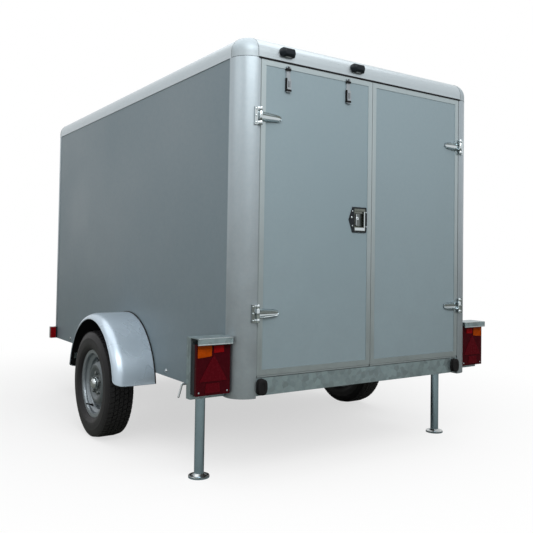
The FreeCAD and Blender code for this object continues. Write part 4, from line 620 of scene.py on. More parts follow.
# %% Tyres
TREAD_PITCHES = 62
TREAD_ROWS = 5
TREAD_DEPTH = 6 * MM
TREAD_GROOVE = 4.5 * MM
TREAD_OVERHANG = 6 * MM
TREAD_ROOT = 1 * MM
TREAD_FILL = 0.82
TREAD_SLANT = 0.3
SHOULDER_WIDTH = 17 * MM
SHOULDER_DROP = 5 * MM
TYRE_SKIN = 0.1 * MM
SIDE_SKIN = 0.6 * MM
BEAD_TOE = (-16 * MM, -24 * MM)
BEAD_HEEL = (1 * MM, -22 * MM)
BELLY_DEPTH = 26 * MM
BELLY = [(0.08, 0.62), (0.16, 0.80), (0.26, 0.93), (0.28, 0.965), (0.31, 0.965), (0.33, 0.975),
         (0.42, 0.995), (0.50, 1.0), (0.62, 0.975), (0.64, 0.985), (0.67, 0.975), (0.69, 0.945), (0.76, 0.89),
         (0.86, 0.78), (0.95, 0.62), (1.0, 0.45)]


def tread_block(kit, centre, base, top, y0, y1, start, sweep, shoulder):
    """One slanted block, its outer edge lower where it meets the sidewall."""
    rails = []
    for radius, y in ((base, y0), (top, y0), (top, y1), (base, y1)):
        outer = shoulder and abs(y) > abs(y0 + y1) / 2 and radius == top
        r = radius - (SHOULDER_DROP if outer else 0)
        rail = []
        for part in (0.0, 0.5, 1.0):
            a = start + (part + TREAD_SLANT * (y - y0) / (y1 - y0)) * sweep
            rail.append(kit.mesh.verts.new(centre + Vector((r * math.cos(a), y, r * math.sin(a)))))
        rails.append(rail)
    for rail, following in zip(rails, rails[1:] + rails[:1]):
        for i in range(2):
            kit.mesh.faces.new((rail[i], rail[i + 1], following[i + 1], following[i]))
    for end in (0, 2):
        kit.mesh.faces.new([rail[end] for rail in rails])


def tyre_piece(side):
    """Carcass, sidewall rings and tread blocks of one tyre."""
    name = side_name(side)
    low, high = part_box(name + "_tyre")
    rim_low, rim_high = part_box(name + "_rim")
    centre = (low + high) / 2
    radius = (high.z - low.z) / 2 - TYRE_SKIN
    half = (high.y - low.y) / 2 - SIDE_SKIN
    bead = (rim_high.z - rim_low.z) / 2
    base = radius - TREAD_DEPTH
    tread_half = half - SHOULDER_WIDTH
    profile = [(bead + r, half + y) for r, y in (BEAD_TOE, BEAD_HEEL)]
    profile += [(bead + (base - bead) * up, half - BELLY_DEPTH * (1 - out)) for up, out in BELLY]
    profile.append((base, tread_half - 2 * MM))
    section = profile + [(r, -y) for r, y in reversed(profile)]
    kit = Kit().lathe(section, centre, (0, 1, 0), 120, closed=True)
    width = 2 * tread_half / TREAD_ROWS
    pitch = 2 * math.pi / TREAD_PITCHES
    last = TREAD_ROWS - 1
    for row in range(TREAD_ROWS):
        y0 = -tread_half + row * width + (TREAD_GROOVE / 2 if row else -TREAD_OVERHANG)
        y1 = -tread_half + (row + 1) * width - (TREAD_GROOVE / 2 if row < last else -TREAD_OVERHANG)
        for number in range(TREAD_PITCHES):
            start = pitch * (number + 0.5 * (row % 2))
            tread_block(kit, centre, base - TREAD_ROOT, radius, y0, y1, start, pitch * TREAD_FILL, row in (0, last))
    piece = kit.make(name + "_tyre_tread", name + "_wheel", "tyre_rubber", TYRE, smooth=30)
    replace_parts(piece, name + "_tyre")
    return piece


for side in SIDES:
    print("tyre faces:", len(tyre_piece(side).data.polygons))

# %% [markdown]
# The pressed wheel is turned in one section, rim and disc, and its hand holes are then cut with a
# boolean, as a press would punch them.  Nuts, cap and valve are separate metal.  The disc is painted
# darker than the rim, as shade inside the wheel.

# %% Wheels
RIM_SECTION = [(182, 57), (184, 55.5), (183, 53.5), (176, 52.5), (169, 51.5), (165.5, 48), (165, 36), (162, 32),
               (146, 25), (143, 20), (143, -9), (147, -16), (162, -30), (165, -34), (165, -50), (168, -53),
               (182, -54), (182.5, -57), (166, -57), (161.5, -52), (161, -36), (158, -33), (143, -19), (139, -12),
               (139, 19), (143, 27), (159, 34.5), (161.5, 38), (161.5, 49), (165, 54.5), (174, 56)]
DISC_SECTION = [(31, 30), (66, 30), (73, 31.5), (78, 36), (84, 40.5), (92, 42.5), (101, 42), (109, 38), (118, 31),
                (129, 22), (136, 17), (139.2, 14), (139.2, 4), (135, 8), (127, 15), (116, 25), (107, 33), (100, 37.5),
                (92, 38), (86, 36.5), (81, 32), (75, 27), (67, 25.5), (31, 25.5)]
HAND_HOLES = 10
HAND_HOLE_CIRCLE = 124 * MM
HAND_HOLE_HALF_LENGTH = 12 * MM
HAND_HOLE_HALF_WIDTH = 7.5 * MM
PUNCH_START = 20 * MM
PUNCH_LENGTH = 90 * MM
BOLTS = 5
BOLT_CIRCLE = 56 * MM
BOLT_SEAT = 30 * MM
WASHER = ((0, 0), (13, 0), (12, 5), (10, 6), (0, 6))
NUT = ((0, 5), (10.4, 5), (10.4, 14), (8.5, 16), (0, 16))
CAP = ((0, -0.5), (12, 0), (22, 3), (28, 10), (29.6, 18), (29.6, 22), (32, 23), (32, 27), (30, 28), (0, 28))
VALVE = ((0, 0), (7, 0), (6, 6), (4, 12), (3.6, 30), (4.4, 31), (4.4, 38), (3.5, 40), (0, 40))
VALVE_CIRCLE = 150 * MM
VALVE_PLACE = math.radians(-62)
VALVE_LEAN = 0.35


def cutters(centre, side):
    """Oval punches through the disc."""
    kit = Kit()
    for number in range(HAND_HOLES):
        a = 2 * math.pi * (number + 0.5) / HAND_HOLES
        middle = Vector((math.cos(a), 0, math.sin(a))) * HAND_HOLE_CIRCLE
        along = Vector((-math.sin(a), 0, math.cos(a)))
        out = Vector((math.cos(a), 0, math.sin(a)))
        ring = []
        for i in range(20):
            b = 2 * math.pi * i / 20
            ring.append(centre + middle + along * HAND_HOLE_HALF_LENGTH * math.cos(b)
                        + out * HAND_HOLE_HALF_WIDTH * math.sin(b))
        kit.outline([p - Vector((0, side * PUNCH_START, 0)) for p in ring], (0, side * PUNCH_LENGTH, 0))
    bmesh.ops.recalc_face_normals(kit.mesh, faces=kit.mesh.faces)
    mesh = bpy.data.meshes.new("punch")
    kit.mesh.to_mesh(mesh)
    kit.mesh.free()
    punch = bpy.data.objects.new("punch", mesh)
    scene.collection.objects.link(punch)
    return punch


def punched(piece, punch):
    """Apply a boolean difference and drop the punch."""
    modifier = piece.modifiers.new("punch", "BOOLEAN")
    modifier.object = punch
    modifier.solver = "EXACT"
    bpy.context.view_layer.update()
    result = bpy.data.meshes.new_from_object(piece.evaluated_get(bpy.context.evaluated_depsgraph_get()))
    piece.modifiers.clear()
    piece.data = result
    result.shade_smooth()
    result.set_sharp_from_angle(angle=math.radians(35))
    bpy.data.objects.remove(punch)


def wheel_pieces(side):
    """Rim with disc, nuts, grease cap and valve of one wheel."""
    name = side_name(side)
    body = name + "_wheel"
    low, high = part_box(name + "_tyre")
    centre = (low + high) / 2
    axis = (0, side, 0)
    disc = Kit().lathe(scaled(DISC_SECTION), centre, axis, 96, closed=True)
    # the disc takes the darkened copy of the rim paint: painted shade
    disc = disc.make(name + "_wheel_disc_painted_shade", body, "silver_rim", SHADED_DISC)
    punched(disc, cutters(centre, side))
    rim = Kit().lathe(scaled(RIM_SECTION), centre, axis, 96, closed=True)
    rim = rim.make(name + "_wheel_rim", body, "silver_rim", RIM)
    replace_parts(rim, name + "_rim")
    nuts = Kit()
    for number in range(BOLTS):
        a = 2 * math.pi * (number + 0.25) / BOLTS
        place = centre + Vector((BOLT_CIRCLE * math.cos(a), side * BOLT_SEAT, BOLT_CIRCLE * math.sin(a)))
        nuts.lathe(scaled(WASHER), place, axis, 24)
        nuts.lathe(scaled(NUT), place, axis, 6)
    nuts.make(name + "_wheel_nuts", body, "hub_steel", STEEL)
    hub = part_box(name + "_hub")
    cap_end = abs(hub[1].y if side > 0 else hub[0].y) - abs(centre.y)
    cap = Kit().lathe([(r * MM, cap_end - back * MM) for r, back in CAP], centre, axis, 48)
    cap.make(name + "_grease_cap", body, "hub_steel", CHROME)
    out = Vector((math.cos(VALVE_PLACE), 0, math.sin(VALVE_PLACE)))
    foot = centre + VALVE_CIRCLE * out + Vector((0, side * BOLT_SEAT, 0))
    lean = (Vector(axis) - VALVE_LEAN * out).normalized()
    Kit().lathe(scaled(VALVE), foot, lean, 16).make(name + "_valve", body, "black_rubber", RUBBER)
    return rim


for side in SIDES:
    print("wheel rim faces:", len(wheel_pieces(side).data.polygons))

# %% [markdown]
# A mudguard is drawn from one piece of sheet: a flat crown, an elliptical shoulder and a rolled
# lip whose lower corners are rounded off.  A grid of points gives all of it: each step along the
# arc carries the same section, and near the ends the section is trimmed by a quarter ellipse.

# %% Mudguards
GUARD_SHOULDER = 56 * MM
GUARD_DROP = 30 * MM
GUARD_SKIN = 2.2 * MM
GUARD_TRIM = 72 * MM
GUARD_TRIM_LENGTH = 40 * MM
GUARD_FLAT_REST = 20 * MM
GUARD_BEAD = 3 * MM
GUARD_SEAL = 3.4 * MM
SHOULDER_STEPS = 24


def guard_section(wall, outer, radius, shrink, trim):
    """Evenly spaced points (y, r) along the section, its lip end shortened by trim."""
    line = [(wall, radius - shrink)]
    for a in spaced(0, math.pi / 2, SHOULDER_STEPS + 1):
        line.append((outer - GUARD_SHOULDER + (GUARD_SHOULDER - shrink) * math.sin(a),
                     radius - GUARD_DROP + (GUARD_DROP - shrink) * math.cos(a)))
    lengths = [0]
    for a, b in zip(line, line[1:]):
        lengths.append(lengths[-1] + math.dist(a, b))
    wanted = lengths[-1] - trim
    flat = lengths[1]
    stops = spaced(0, flat - GUARD_FLAT_REST, 5) + spaced(flat, wanted, 16)
    points = []
    for stop in stops:
        k = max(i for i, length in enumerate(lengths[:-1]) if length <= stop + 1e-9)
        part = (stop - lengths[k]) / (lengths[k + 1] - lengths[k])
        points.append(tuple(a + (b - a) * part for a, b in zip(line[k], line[k + 1])))
    return points


def guard_pieces(side):
    """Skin, rolled lip and wall seal of one mudguard."""
    name = side_name(side)
    low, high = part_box(name + "_mudguard")
    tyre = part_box(name + "_tyre")
    axle_x = (tyre[0].x + tyre[1].x) / 2
    axle_z = (tyre[0].z + tyre[1].z) / 2
    radius = high.z - axle_z
    half = (high.x - low.x) / 2
    end = math.acos(half / radius)
    wall, outer = sorted((abs(low.y), abs(high.y)))
    outer -= GUARD_BEAD * 0.4
    fine = [GUARD_TRIM_LENGTH * (1 - math.cos(math.pi / 2 * i / 9)) / radius for i in range(10)]
    angles = [end + a for a in fine] + spaced(end + fine[-1], math.pi - end - fine[-1], 62)[1:-1]
    angles += [math.pi - end - a for a in reversed(fine)]

    def rows(shrink):
        """The guard's points, shrunk towards the wheel."""
        grid = []
        for a in angles:
            gap = min(a - end, math.pi - end - a) * radius
            short = max(0.0, 1 - gap / GUARD_TRIM_LENGTH)
            trim = GUARD_TRIM * (1 - math.sqrt(1 - short * short))
            grid.append([(axle_x + r * math.cos(a), side * y, axle_z + r * math.sin(a))
                         for y, r in guard_section(wall, outer, radius, shrink, trim)])
        return grid

    top = rows(0.0)
    # the inner face takes the near-black underside finish: painted shade together with road dirt
    piece = Kit().shell(top, rows(GUARD_SKIN), 1).make(
        name + "_mudguard_skin", "root", "silver_mudguard", GUARD, UNDERSIDE_SHADE_AND_DIRT, smooth=40)
    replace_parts(piece, name + "_mudguard")
    rim = rows(GUARD_BEAD * 0.6)
    path = rim[0] + [row[-1] for row in rim[1:-1]] + list(reversed(rim[-1]))
    Kit().sweep(path, GUARD_BEAD, 8).make(name + "_mudguard_lip", "root", "silver_mudguard", GUARD)
    reach = radius + 1 * MM
    seal = [(axle_x + reach * math.cos(a), side * (wall + 3.5 * MM), axle_z + reach * math.sin(a))
            for a in spaced(end, math.pi - end, 60)]
    Kit().sweep(seal, GUARD_SEAL, 8).make(name + "_mudguard_seal", "root", "black_rubber", RUBBER)
    return piece


for side in SIDES:
    print("mudguard faces:", len(guard_pieces(side).data.polygons))

# %% [markdown]
# A rear lamp is one moulding with coloured windows.  Separate shapes for the windows and for the
# triangular reflector give each its own edge to catch the light, which paint alone wouldn't.

# %% Rear lamps
LENS_PARTS = (
    ("amber_window", AMBER, ((6, 5), (72, 5), (72, 50), (58, 52), (6, 56))),
    ("red_window", BRIGHT_RED, ((82, 8), (130, 8), (130, 36), (82, 38))),
    ("reflector", REFLECTOR, ((82, 44), (148, 156), (14, 156))),
    ("lower_window", REFLECTOR, ((46, 164), (110, 164), (114, 205), (42, 205))))
LENS_MARGIN = 2.6 * MM
LENS_WIDTH = 162 * MM
LENS_ROUND = 5 * MM
WINDOW_PROUD = 2.2 * MM
WINDOW_SUNK = 1 * MM
WINDOW_ROUND = 1.2 * MM
LENS_SCREWS = (13, 149)
LENS_SCREW_DROP = 201 * MM


def lamp_pieces(side):
    """Lens body, windows, reflector and screws of one lamp."""
    low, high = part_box("lamp_lenses")
    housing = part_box("lamp_housings")
    name = side_name(side) + "_lamp_"
    outer = high.y
    y0, y1 = ordered(side * outer, side * (outer - LENS_WIDTH))
    face = low.x + LENS_MARGIN
    lens = Kit().block((face, y0, low.z), (high.x, y1, high.z), LENS_ROUND, 3)
    lens = lens.make(name + "body", "root", "red_lens", RED)
    rim = Kit().block((high.x - 4 * MM, y0 - 0.5 * MM, low.z - 1 * MM),
                      (housing[0].x + 6 * MM, y1 + 0.5 * MM, high.z + 1 * MM), 1.5 * MM)
    rim.make(name + "rim", "root", "black_plastic", BLACK)
    for part, material, points in LENS_PARTS:
        proud = LENS_MARGIN if part == "reflector" else WINDOW_PROUD
        shape = [(face + WINDOW_SUNK, side * (outer - a * MM), high.z - d * MM) for a, d in points]
        window = Kit().outline(shape, (-proud - WINDOW_SUNK, 0, 0), WINDOW_ROUND)
        window.make(name + part, "root", "red_lens", material)
    screws = Kit()
    for a in LENS_SCREWS:
        screws.screw((face + 0.5 * MM, side * (outer - a * MM), high.z - LENS_SCREW_DROP), (-1, 0, 0), 4 * MM)
    screws.make(name + "screws", "root", "chrome", CHROME)
    return lens


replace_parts(lamp_pieces(1), "lamp_lenses")
lamp_pieces(-1)
print("lamp windows:", [part[0] for part in LENS_PARTS])

# %% [markdown]
# The folded hood over each lamp has a rolled lower edge and a fold along its top.  The sheet
# itself is in the construction, so only these two beads are added, in the bright zinc finish rather
# than the sheet's own: a painted highlight along both edges.

# %% Lamp hoods
HOOD_DROP = 26 * MM
HOOD_WIDTH = 166 * MM
HOOD_EDGE = 1.5 * MM
HOOD_FOLD = 1.2 * MM


def hood_rims():
    """Rolled edges of both lamp brackets."""
    low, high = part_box("lamp_brackets")
    kit = Kit()
    for side in SIDES:
        y0 = side * (high.y - HOOD_EDGE)
        y1 = side * (high.y - HOOD_WIDTH)
        for inset, z, radius in ((HOOD_EDGE, high.z - HOOD_DROP, 2.2 * MM), (HOOD_FOLD, high.z - HOOD_FOLD, 1.6 * MM)):
            kit.sweep([(low.x + inset, y0, z), (low.x + inset, y1, z)], radius)
    # the beads take the bright zinc finish: a painted highlight on the galvanised sheet
    return kit.make("lamp_hood_rims", "root", "galvanised_steel", BRIGHT_ZINC)


print("hood rim faces:", len(hood_rims().data.polygons))

# %% [markdown]
# The hinges are chromed castings: a bolted plate with a barrel on the post, and on the door a
# dished arm with a raised rim that narrows to a round tip.  The arm is a shell whose height across
# is a shallow trough, so the rim and the trough reflect different parts of the room.

# %% Hinges
HINGE_HEIGHT = 78 * MM
ARM_LENGTH = 112 * MM
ARM_RISE = ((0.0, 15), (0.1, 15), (0.35, 12), (0.7, 10), (1.0, 6))
ARM_HALF = ((0.0, 21.5), (0.22, 21.5), (0.4, 19.5), (0.65, 17), (0.82, 16))
ARM_ROOT = 6 * MM
TIP_START = 0.82
TROUGH = 0.18
PIN_RADIUS = 8 * MM
BARREL = ((0, -21.5), (7.4, -21.5), (8, -20.5), (8, 20.5), (7.4, 21.5), (0, 21.5))
KNUCKLE = ((0, 0), (7.4, 0), (8, 1), (8, 15.5), (7.4, 16.5), (0, 16.5))
KNUCKLE_STARTS = (-39, 22.5)
KNUCKLE_FOOT = ((1, 4), (1, 14), (5, 14), (14, 1), (8, 0))
PLATE_SPAN = (9 * MM, 28.8 * MM)
PLATE_THICKNESS = 5 * MM
PLATE_SCREWS = (-30, 0, 30)
PAD_OUTLINE = ((2, 19), (40, 18.5), (88, 16.5), (112, 9))


def between(table, s):
    """Straight-line look-up in pairs of (place, value)."""
    for (a, low), (b, high) in zip(table, table[1:]):
        if s <= b:
            return low + (high - low) * max(0.0, s - a) / (b - a)
    return table[-1][1]


def hinge_places():
    """Heights of the hinges and the pin's place, read from the construction."""
    low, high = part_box("hinge_plates")
    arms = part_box("left_hinge_arms")
    heights = (low.z + HINGE_HEIGHT / 2, high.z - HINGE_HEIGHT / 2)
    return heights, arms[1].y - PIN_RADIUS, low.x + PIN_RADIUS


def arm_shell(kit, side, pin_y, z):
    """One dished arm from barrel to tip."""
    outer, inner = [], []
    tip = 1 - TIP_START
    stations = spaced(0, TIP_START, 15) + [TIP_START + tip * math.sin(math.pi / 2 * i / 7) for i in range(1, 8)]
    for s in stations:
        half = between(ARM_HALF, s)
        if s > TIP_START:
            half *= math.sqrt(max(0.02, 1 - ((s - TIP_START) / tip) ** 2))
        y = side * (pin_y - ARM_ROOT - s * (ARM_LENGTH - ARM_ROOT))
        rise = between(ARM_RISE, s)
        top, base = [], []
        for t in spaced(-1, 1, 17):
            rim = math.exp(-((abs(t) - 0.74) / 0.2) ** 2)
            height = rise * (TROUGH + (1 - TROUGH) * rim) * math.sqrt(max(0.0, 1 - t ** 8)) + 0.4
            top.append((DOOR_X - height * MM, y, z + half * t * MM))
            base.append((DOOR_X - 0.1 * MM, y, z + half * t * MM))
        outer.append(top)
        inner.append(base)
    kit.shell(outer, inner)


def hinge_base(kit, side, pin_x, pin_y, z):
    """The bolted plate of one hinge with its two knuckles."""
    y0, y1 = ordered(side * (pin_y + PLATE_SPAN[0]), side * (pin_y + PLATE_SPAN[1]))
    kit.block((DOOR_X - PLATE_THICKNESS, y0, z - HINGE_HEIGHT / 2), (DOOR_X + 0.5 * MM, y1, z + HINGE_HEIGHT / 2),
              2.4 * MM, 3)
    for start in KNUCKLE_STARTS:
        kit.lathe([(r * MM, (start + h) * MM) for r, h in KNUCKLE], (pin_x, side * pin_y, z), (0, 0, 1), 32)
        kit.hull([(DOOR_X - x * MM, side * (pin_y + y * MM), z + (start + h) * MM)
                  for x, y in KNUCKLE_FOOT for h in (1, 15.5)], 0.8 * MM)
    for dz in PLATE_SCREWS:
        kit.screw((DOOR_X - 4.8 * MM, side * (pin_y + 20 * MM), z + dz * MM), (-1, 0, 0), 4.4 * MM)


def hinge_pieces():
    """Plates and barrels on the posts, arms and their pads on the doors."""
    heights, pin_y, pin_x = hinge_places()
    plates = Kit()
    for side in SIDES:
        name = side_name(side)
        arms = Kit()
        black_pieces = Kit()
        for z in heights:
            arm_shell(arms, side, pin_y, z)
            arms.lathe(scaled(BARREL), (pin_x, side * pin_y, z), (0, 0, 1), 32)
            hinge_base(plates, side, pin_x, pin_y, z)
            loop = [(DOOR_X - 0.7 * MM, side * (pin_y - reach * MM), z + half * MM) for reach, half in PAD_OUTLINE]
            loop += [(x, y, 2 * z - up) for x, y, up in reversed(loop)]
            black_pieces.outline(loop, (0.9 * MM, 0, 0))
        black_pieces.make(name + "_hinge_pads", name + "_door", "black_rubber", BLACK)
        piece = arms.make(name + "_hinge_castings", name + "_door", "chrome", CHROME, smooth=50)
        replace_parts(piece, name + "_hinge_arms")
    piece = plates.make("hinge_bases", "root", "chrome", CHROME)
    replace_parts(piece, "hinge_plates")
    return piece


print("hinge plate faces:", len(hinge_pieces().data.polygons))

# %% [markdown]
# The lock is a black pointed gasket, a chromed tray let into the door, a recess with a curved
# paddle and a bright key barrel.  Tray and recess take a darkened copy of the chrome and the paddle a
# dull steel, painted shade in the lock's hollow.  The tray stays inside the construction's cup.

# %% Door lock
LOCK_POINT = 22 * MM
LOCK_BACK = 5 * MM
LOCK_MIDDLE = 50 * MM
TRAY = ((13.5, 81.5), (-53.0, 53.0))
CUP = ((22.5, 80.0), (-35.0, 41.0))
CUP_DEPTH = 14 * MM
CUP_WALL = 1.2
CUP_LEDGE_Z = 31 * MM
LOCK_LEDGES = (((15.5, 79), (-51, -38)), ((15.5, 20.5), (-37, 40)))
LOCK_SCREWS = ((93.5, 40, 4.2), (93.5, -30, 4.2), (99, 10, 5.5), (6.5, 37, 4.2), (6.5, -33, 4.2))
PADDLE_Y = (30, 68)
PADDLE_Z = (-30, 0, 29)
PADDLE_DEPTH = (10, 8)
PADDLE_SKIN = 1.8
KEY_BARREL = ((0, 0), (8.5, 0), (8.5, 4), (7, 5.5), (3, 5.6), (2.6, 4.2), (0, 4.2))


def lock_pieces():
    """Gasket, tray, recess, paddle, key barrel and screws."""
    low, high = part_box("door_lock")
    mid_z = (low.z + high.z) / 2
    half = (high.z - low.z) / 2

    def at(x, y, z):
        """A point from the door's plane, the lock's right edge and its middle."""
        return (DOOR_X + x * MM, low.y + y * MM, mid_z + z * MM)

    def loop(spans, x, grow=0.0):
        """Eight points round a rectangle, with the middle of each side."""
        (y0, y1), (z0, z1) = ((a - grow, b + grow) for a, b in spans)
        y, z = (y0 + y1) / 2, (z0 + z1) / 2
        corners = ((y0, z0), (y, z0), (y1, z0), (y1, z), (y1, z1), (y, z1), (y0, z1), (y0, z))
        return [at(x, *corner) for corner in corners]

    def ring(outer, inner, x0, x1):
        """A flat plate with a hole."""
        kit = Kit()
        levels = ((inner, x1), (outer, x1), (outer, x0), (inner, x0))
        kit.rings([[kit.mesh.verts.new((x, y, z)) for _, y, z in points] for points, x in levels], closed=True)
        return kit

    back, middle, edge = low.y + LOCK_BACK, low.y + LOCK_MIDDLE, high.y - LOCK_POINT
    rim = [(0, y, mid_z + z) for y, z in ((back, -half), (middle, -half), (edge, -half), (high.y, 0), (edge, half),
                                          (middle, half), (back, half), (low.y, 0))]
    gasket = ring(rim, loop(TRAY, 0), low.x + 0.4 * MM, DOOR_X + 1.8 * MM)
    gasket = gasket.make("lock_gasket", "left_door", "black_plastic", BLACK)
    tray = ring(loop(TRAY, 0), loop(CUP, 0), low.x, DOOR_X + 1.6 * MM)
    # tray and recess in darkened chrome: painted shade in the lock's hollow
    tray = tray.make("lock_tray", "left_door", "chrome", SHADED_CHROME)
    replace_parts(tray, "door_lock")
    recess = Kit()
    depth = CUP_DEPTH / MM
    steps = ((-1, 0.0), (depth, 0.0), (depth + CUP_WALL, CUP_WALL), (-1, CUP_WALL))
    mouth, floor, back_floor, back_mouth = (
        [recess.mesh.verts.new(p) for p in loop(CUP, x, grow)] for x, grow in steps)
    recess.rings([mouth, floor, back_floor, back_mouth], capped=False)
    recess.mesh.faces.new(floor)
    recess.mesh.faces.new(back_floor)
    recess.rings([back_mouth, mouth], capped=False)
    (y0, y1), (_, z1) = CUP
    recess.block(at(4, y0, CUP_LEDGE_Z / MM), at(10, y1, z1), 1.5 * MM)
    recess.make("lock_recess", "left_door", "chrome", SHADED_CHROME)
    paddle = Kit()
    skins = []
    for lift in (0.0, PADDLE_SKIN):
        rows = []
        for s in spaced(0, 1, 9):
            x = PADDLE_DEPTH[0] - PADDLE_DEPTH[1] * math.sin(math.pi / 2 * s) - lift
            rows.append([at(x, PADDLE_Y[0] + (PADDLE_Y[1] - PADDLE_Y[0]) * s, z) for z in PADDLE_Z])
        skins.append(rows)
    paddle.shell(skins[1], skins[0])
    # the paddle, chrome on the lock, drawn in dull steel: painted shade
    paddle.make("lock_paddle", "left_door", "chrome", STEEL)
    bright = Kit()
    bright.lathe(scaled(KEY_BARREL), at(4, 60, 6), (-1, 0, 0), 24)
    bright.sweep([at(1, 68, -26), at(0.5, 68, 26)], 2.2 * MM)
    for (y0, y1), (z0, z1) in LOCK_LEDGES:
        bright.block(at(-3.2, y0, z0), at(0, y1, z1), 0.8 * MM)
    for y, z, radius in LOCK_SCREWS:
        bright.screw(at(-1.4, y, z), (-1, 0, 0), radius * MM)
    bright.make("lock_barrel_and_screws", "left_door", "chrome", CHROME)
    return gasket


print("lock gasket faces:", len(lock_pieces().data.polygons))

# %% [markdown]
# Two spring clips hold a number plate by its top and bottom edges: a slotted strap with a hook at
# each end.  Black blocks serve as rubber pads in the hooks and paint the shade under the hooks, along
# the strap's raised side and in its slots.

# %% Plate clips
CLIP_WIDTH = 28
CLIP_STRAPS = (
    ((-2.4, 2, 6), (-0.2, 24, 114), 0.7), ((-10, 1, 12), (-0.2, 24, 62), 1.2),
    ((-8, 2, 109), (-0.2, 24, 117), 1.5), ((-7, 2, 1), (-0.2, 24, 6), 1.5))
# black blocks: rubber pads in the hooks, and painted shade under the hooks, on the strap's side and in its slots
CLIP_SHADE_BLOCKS = (
    ((-10, 23, 11), (-0.2, 28, 63), 1), ((-10.5, 0, 5), (-0.2, 28, 13), 1),
    ((-9, 1, 98), (-0.2, 28, 106), 1), ((-7, 11, 110), (-8.6, 19, 116), 0),
    ((-10.4, 8, 22), (-9, 10.4, 50), 0.4), ((-10.4, 15, 22), (-9, 17.4, 50), 0.4))


def clip_pieces():
    """Straps and hooks of both clips, with black blocks for pads and painted shade."""
    low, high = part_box("plate_clips")
    straps = Kit()
    black_pieces = Kit()
    for edge in (high.y - CLIP_WIDTH * MM, low.y):
        for kit, blocks in ((straps, CLIP_STRAPS), (black_pieces, CLIP_SHADE_BLOCKS)):
            for near, far, soft in blocks:
                corners = [(DOOR_X + x * MM, edge + y * MM, low.z + z * MM) for x, y, z in (near, far)]
                kit.block(*corners, soft * MM)
    piece = straps.make("clip_straps", "left_door", "clip_steel", CLIP)
    # black blocks for the hook pads and the painted shade of the clips
    black_pieces.make("clip_shade_blocks", "left_door", "black_rubber", RUBBER)
    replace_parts(piece, "plate_clips")
    return piece


print("clip faces:", len(clip_pieces().data.polygons))

# %% [markdown]
# Plate lamps, buffers and marker lamps are moulded: hulls with well rounded edges, and ribs on the
# buffers.

# %% Plate lamps, buffers and marker lamps
LAMP_WIDTH = 86 * MM
LAMP_RINGS = ((14, 39, 6, 36), (0, 42.5, 3, 38), (-16, 38, 0.5, 40.5), (-30, 26, 9, 34))
LAMP_CHEEK = 0.84
LAMP_WINDOW = ((-16, -14, 0.1), (-8, 14, 3))
BUFFER_WIDTH = 50 * MM
BUFFER_POWER = 0.75
BUFFER_BASE = ((0, 0), (0, -7), (1, -8))
BUFFER_RIB = ((4, -0.5), (4, -1.2), (1.5, -1.8), (1.5, -3.0))
BUFFER_RIBS = 4
BUFFER_PITCH = 3.3
BUFFER_NOSE = ((4, 1.2), (9, 0.2), (16, 0), (17, 2))
MARKER_BASE = 12 * MM
MARKER_ROUND = 5 * MM


def plate_lamp_pieces():
    """Black housings with slanted cheeks and a clear window below."""
    low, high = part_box("plate_lamps")
    kit = Kit()
    glass = Kit()
    for y in (high.y - LAMP_WIDTH / 2, low.y + LAMP_WIDTH / 2):
        points = []
        for x, half, z0, z1 in LAMP_RINGS:
            for side in SIDES:
                for share, z in ((LAMP_CHEEK, z0), (LAMP_CHEEK, z1), (1, (z0 + z1) / 2)):
                    points.append((DOOR_X + x * MM, y + side * share * half * MM, low.z + z * MM))
        kit.hull(points, 4 * MM, 3)
        glass.block(*[(DOOR_X + x * MM, y + w * MM, low.z + z * MM) for x, w, z in LAMP_WINDOW], 0.8 * MM)
    piece = kit.make("plate_lamp_housings", "root", "black_plastic", BLACK)
    glass.make("plate_lamp_windows", "root", "marker_lens", CLEAR)
    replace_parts(piece, "plate_lamps")
    return piece


def buffer_pieces():
    """Oblong rubber buffers with upright ribs."""
    low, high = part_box("rear_buffers")
    middle = (low.z + high.z) / 2
    steps = [(inset, high.x + x * MM) for inset, x in BUFFER_BASE]
    for rib in range(BUFFER_RIBS):
        start = BUFFER_BASE[-1][1] - rib * BUFFER_PITCH
        steps += [(inset, high.x + (start + x) * MM) for inset, x in BUFFER_RIB]
    steps += [(inset, low.x + x * MM) for inset, x in BUFFER_NOSE]
    kit = Kit()

    def oval(y, inset, x):
        """A squarish oval ring, inset from the buffer's full outline."""
        width = BUFFER_WIDTH / 2 - inset * MM
        height = (high.z - low.z) / 2 - inset * MM
        ring = []
        for i in range(40):
            a = 2 * math.pi * i / 40
            c, s = (math.copysign(abs(v) ** BUFFER_POWER, v) for v in (math.cos(a), math.sin(a)))
            ring.append(kit.mesh.verts.new((x, y + width * c, middle + height * s)))
        return ring

    for side in SIDES:
        y = side * (high.y - BUFFER_WIDTH / 2)
        kit.rings([oval(y, inset, x) for inset, x in steps])
    piece = kit.make("ribbed_buffers", "root", "black_rubber", RUBBER)
    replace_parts(piece, "rear_buffers")
    return piece


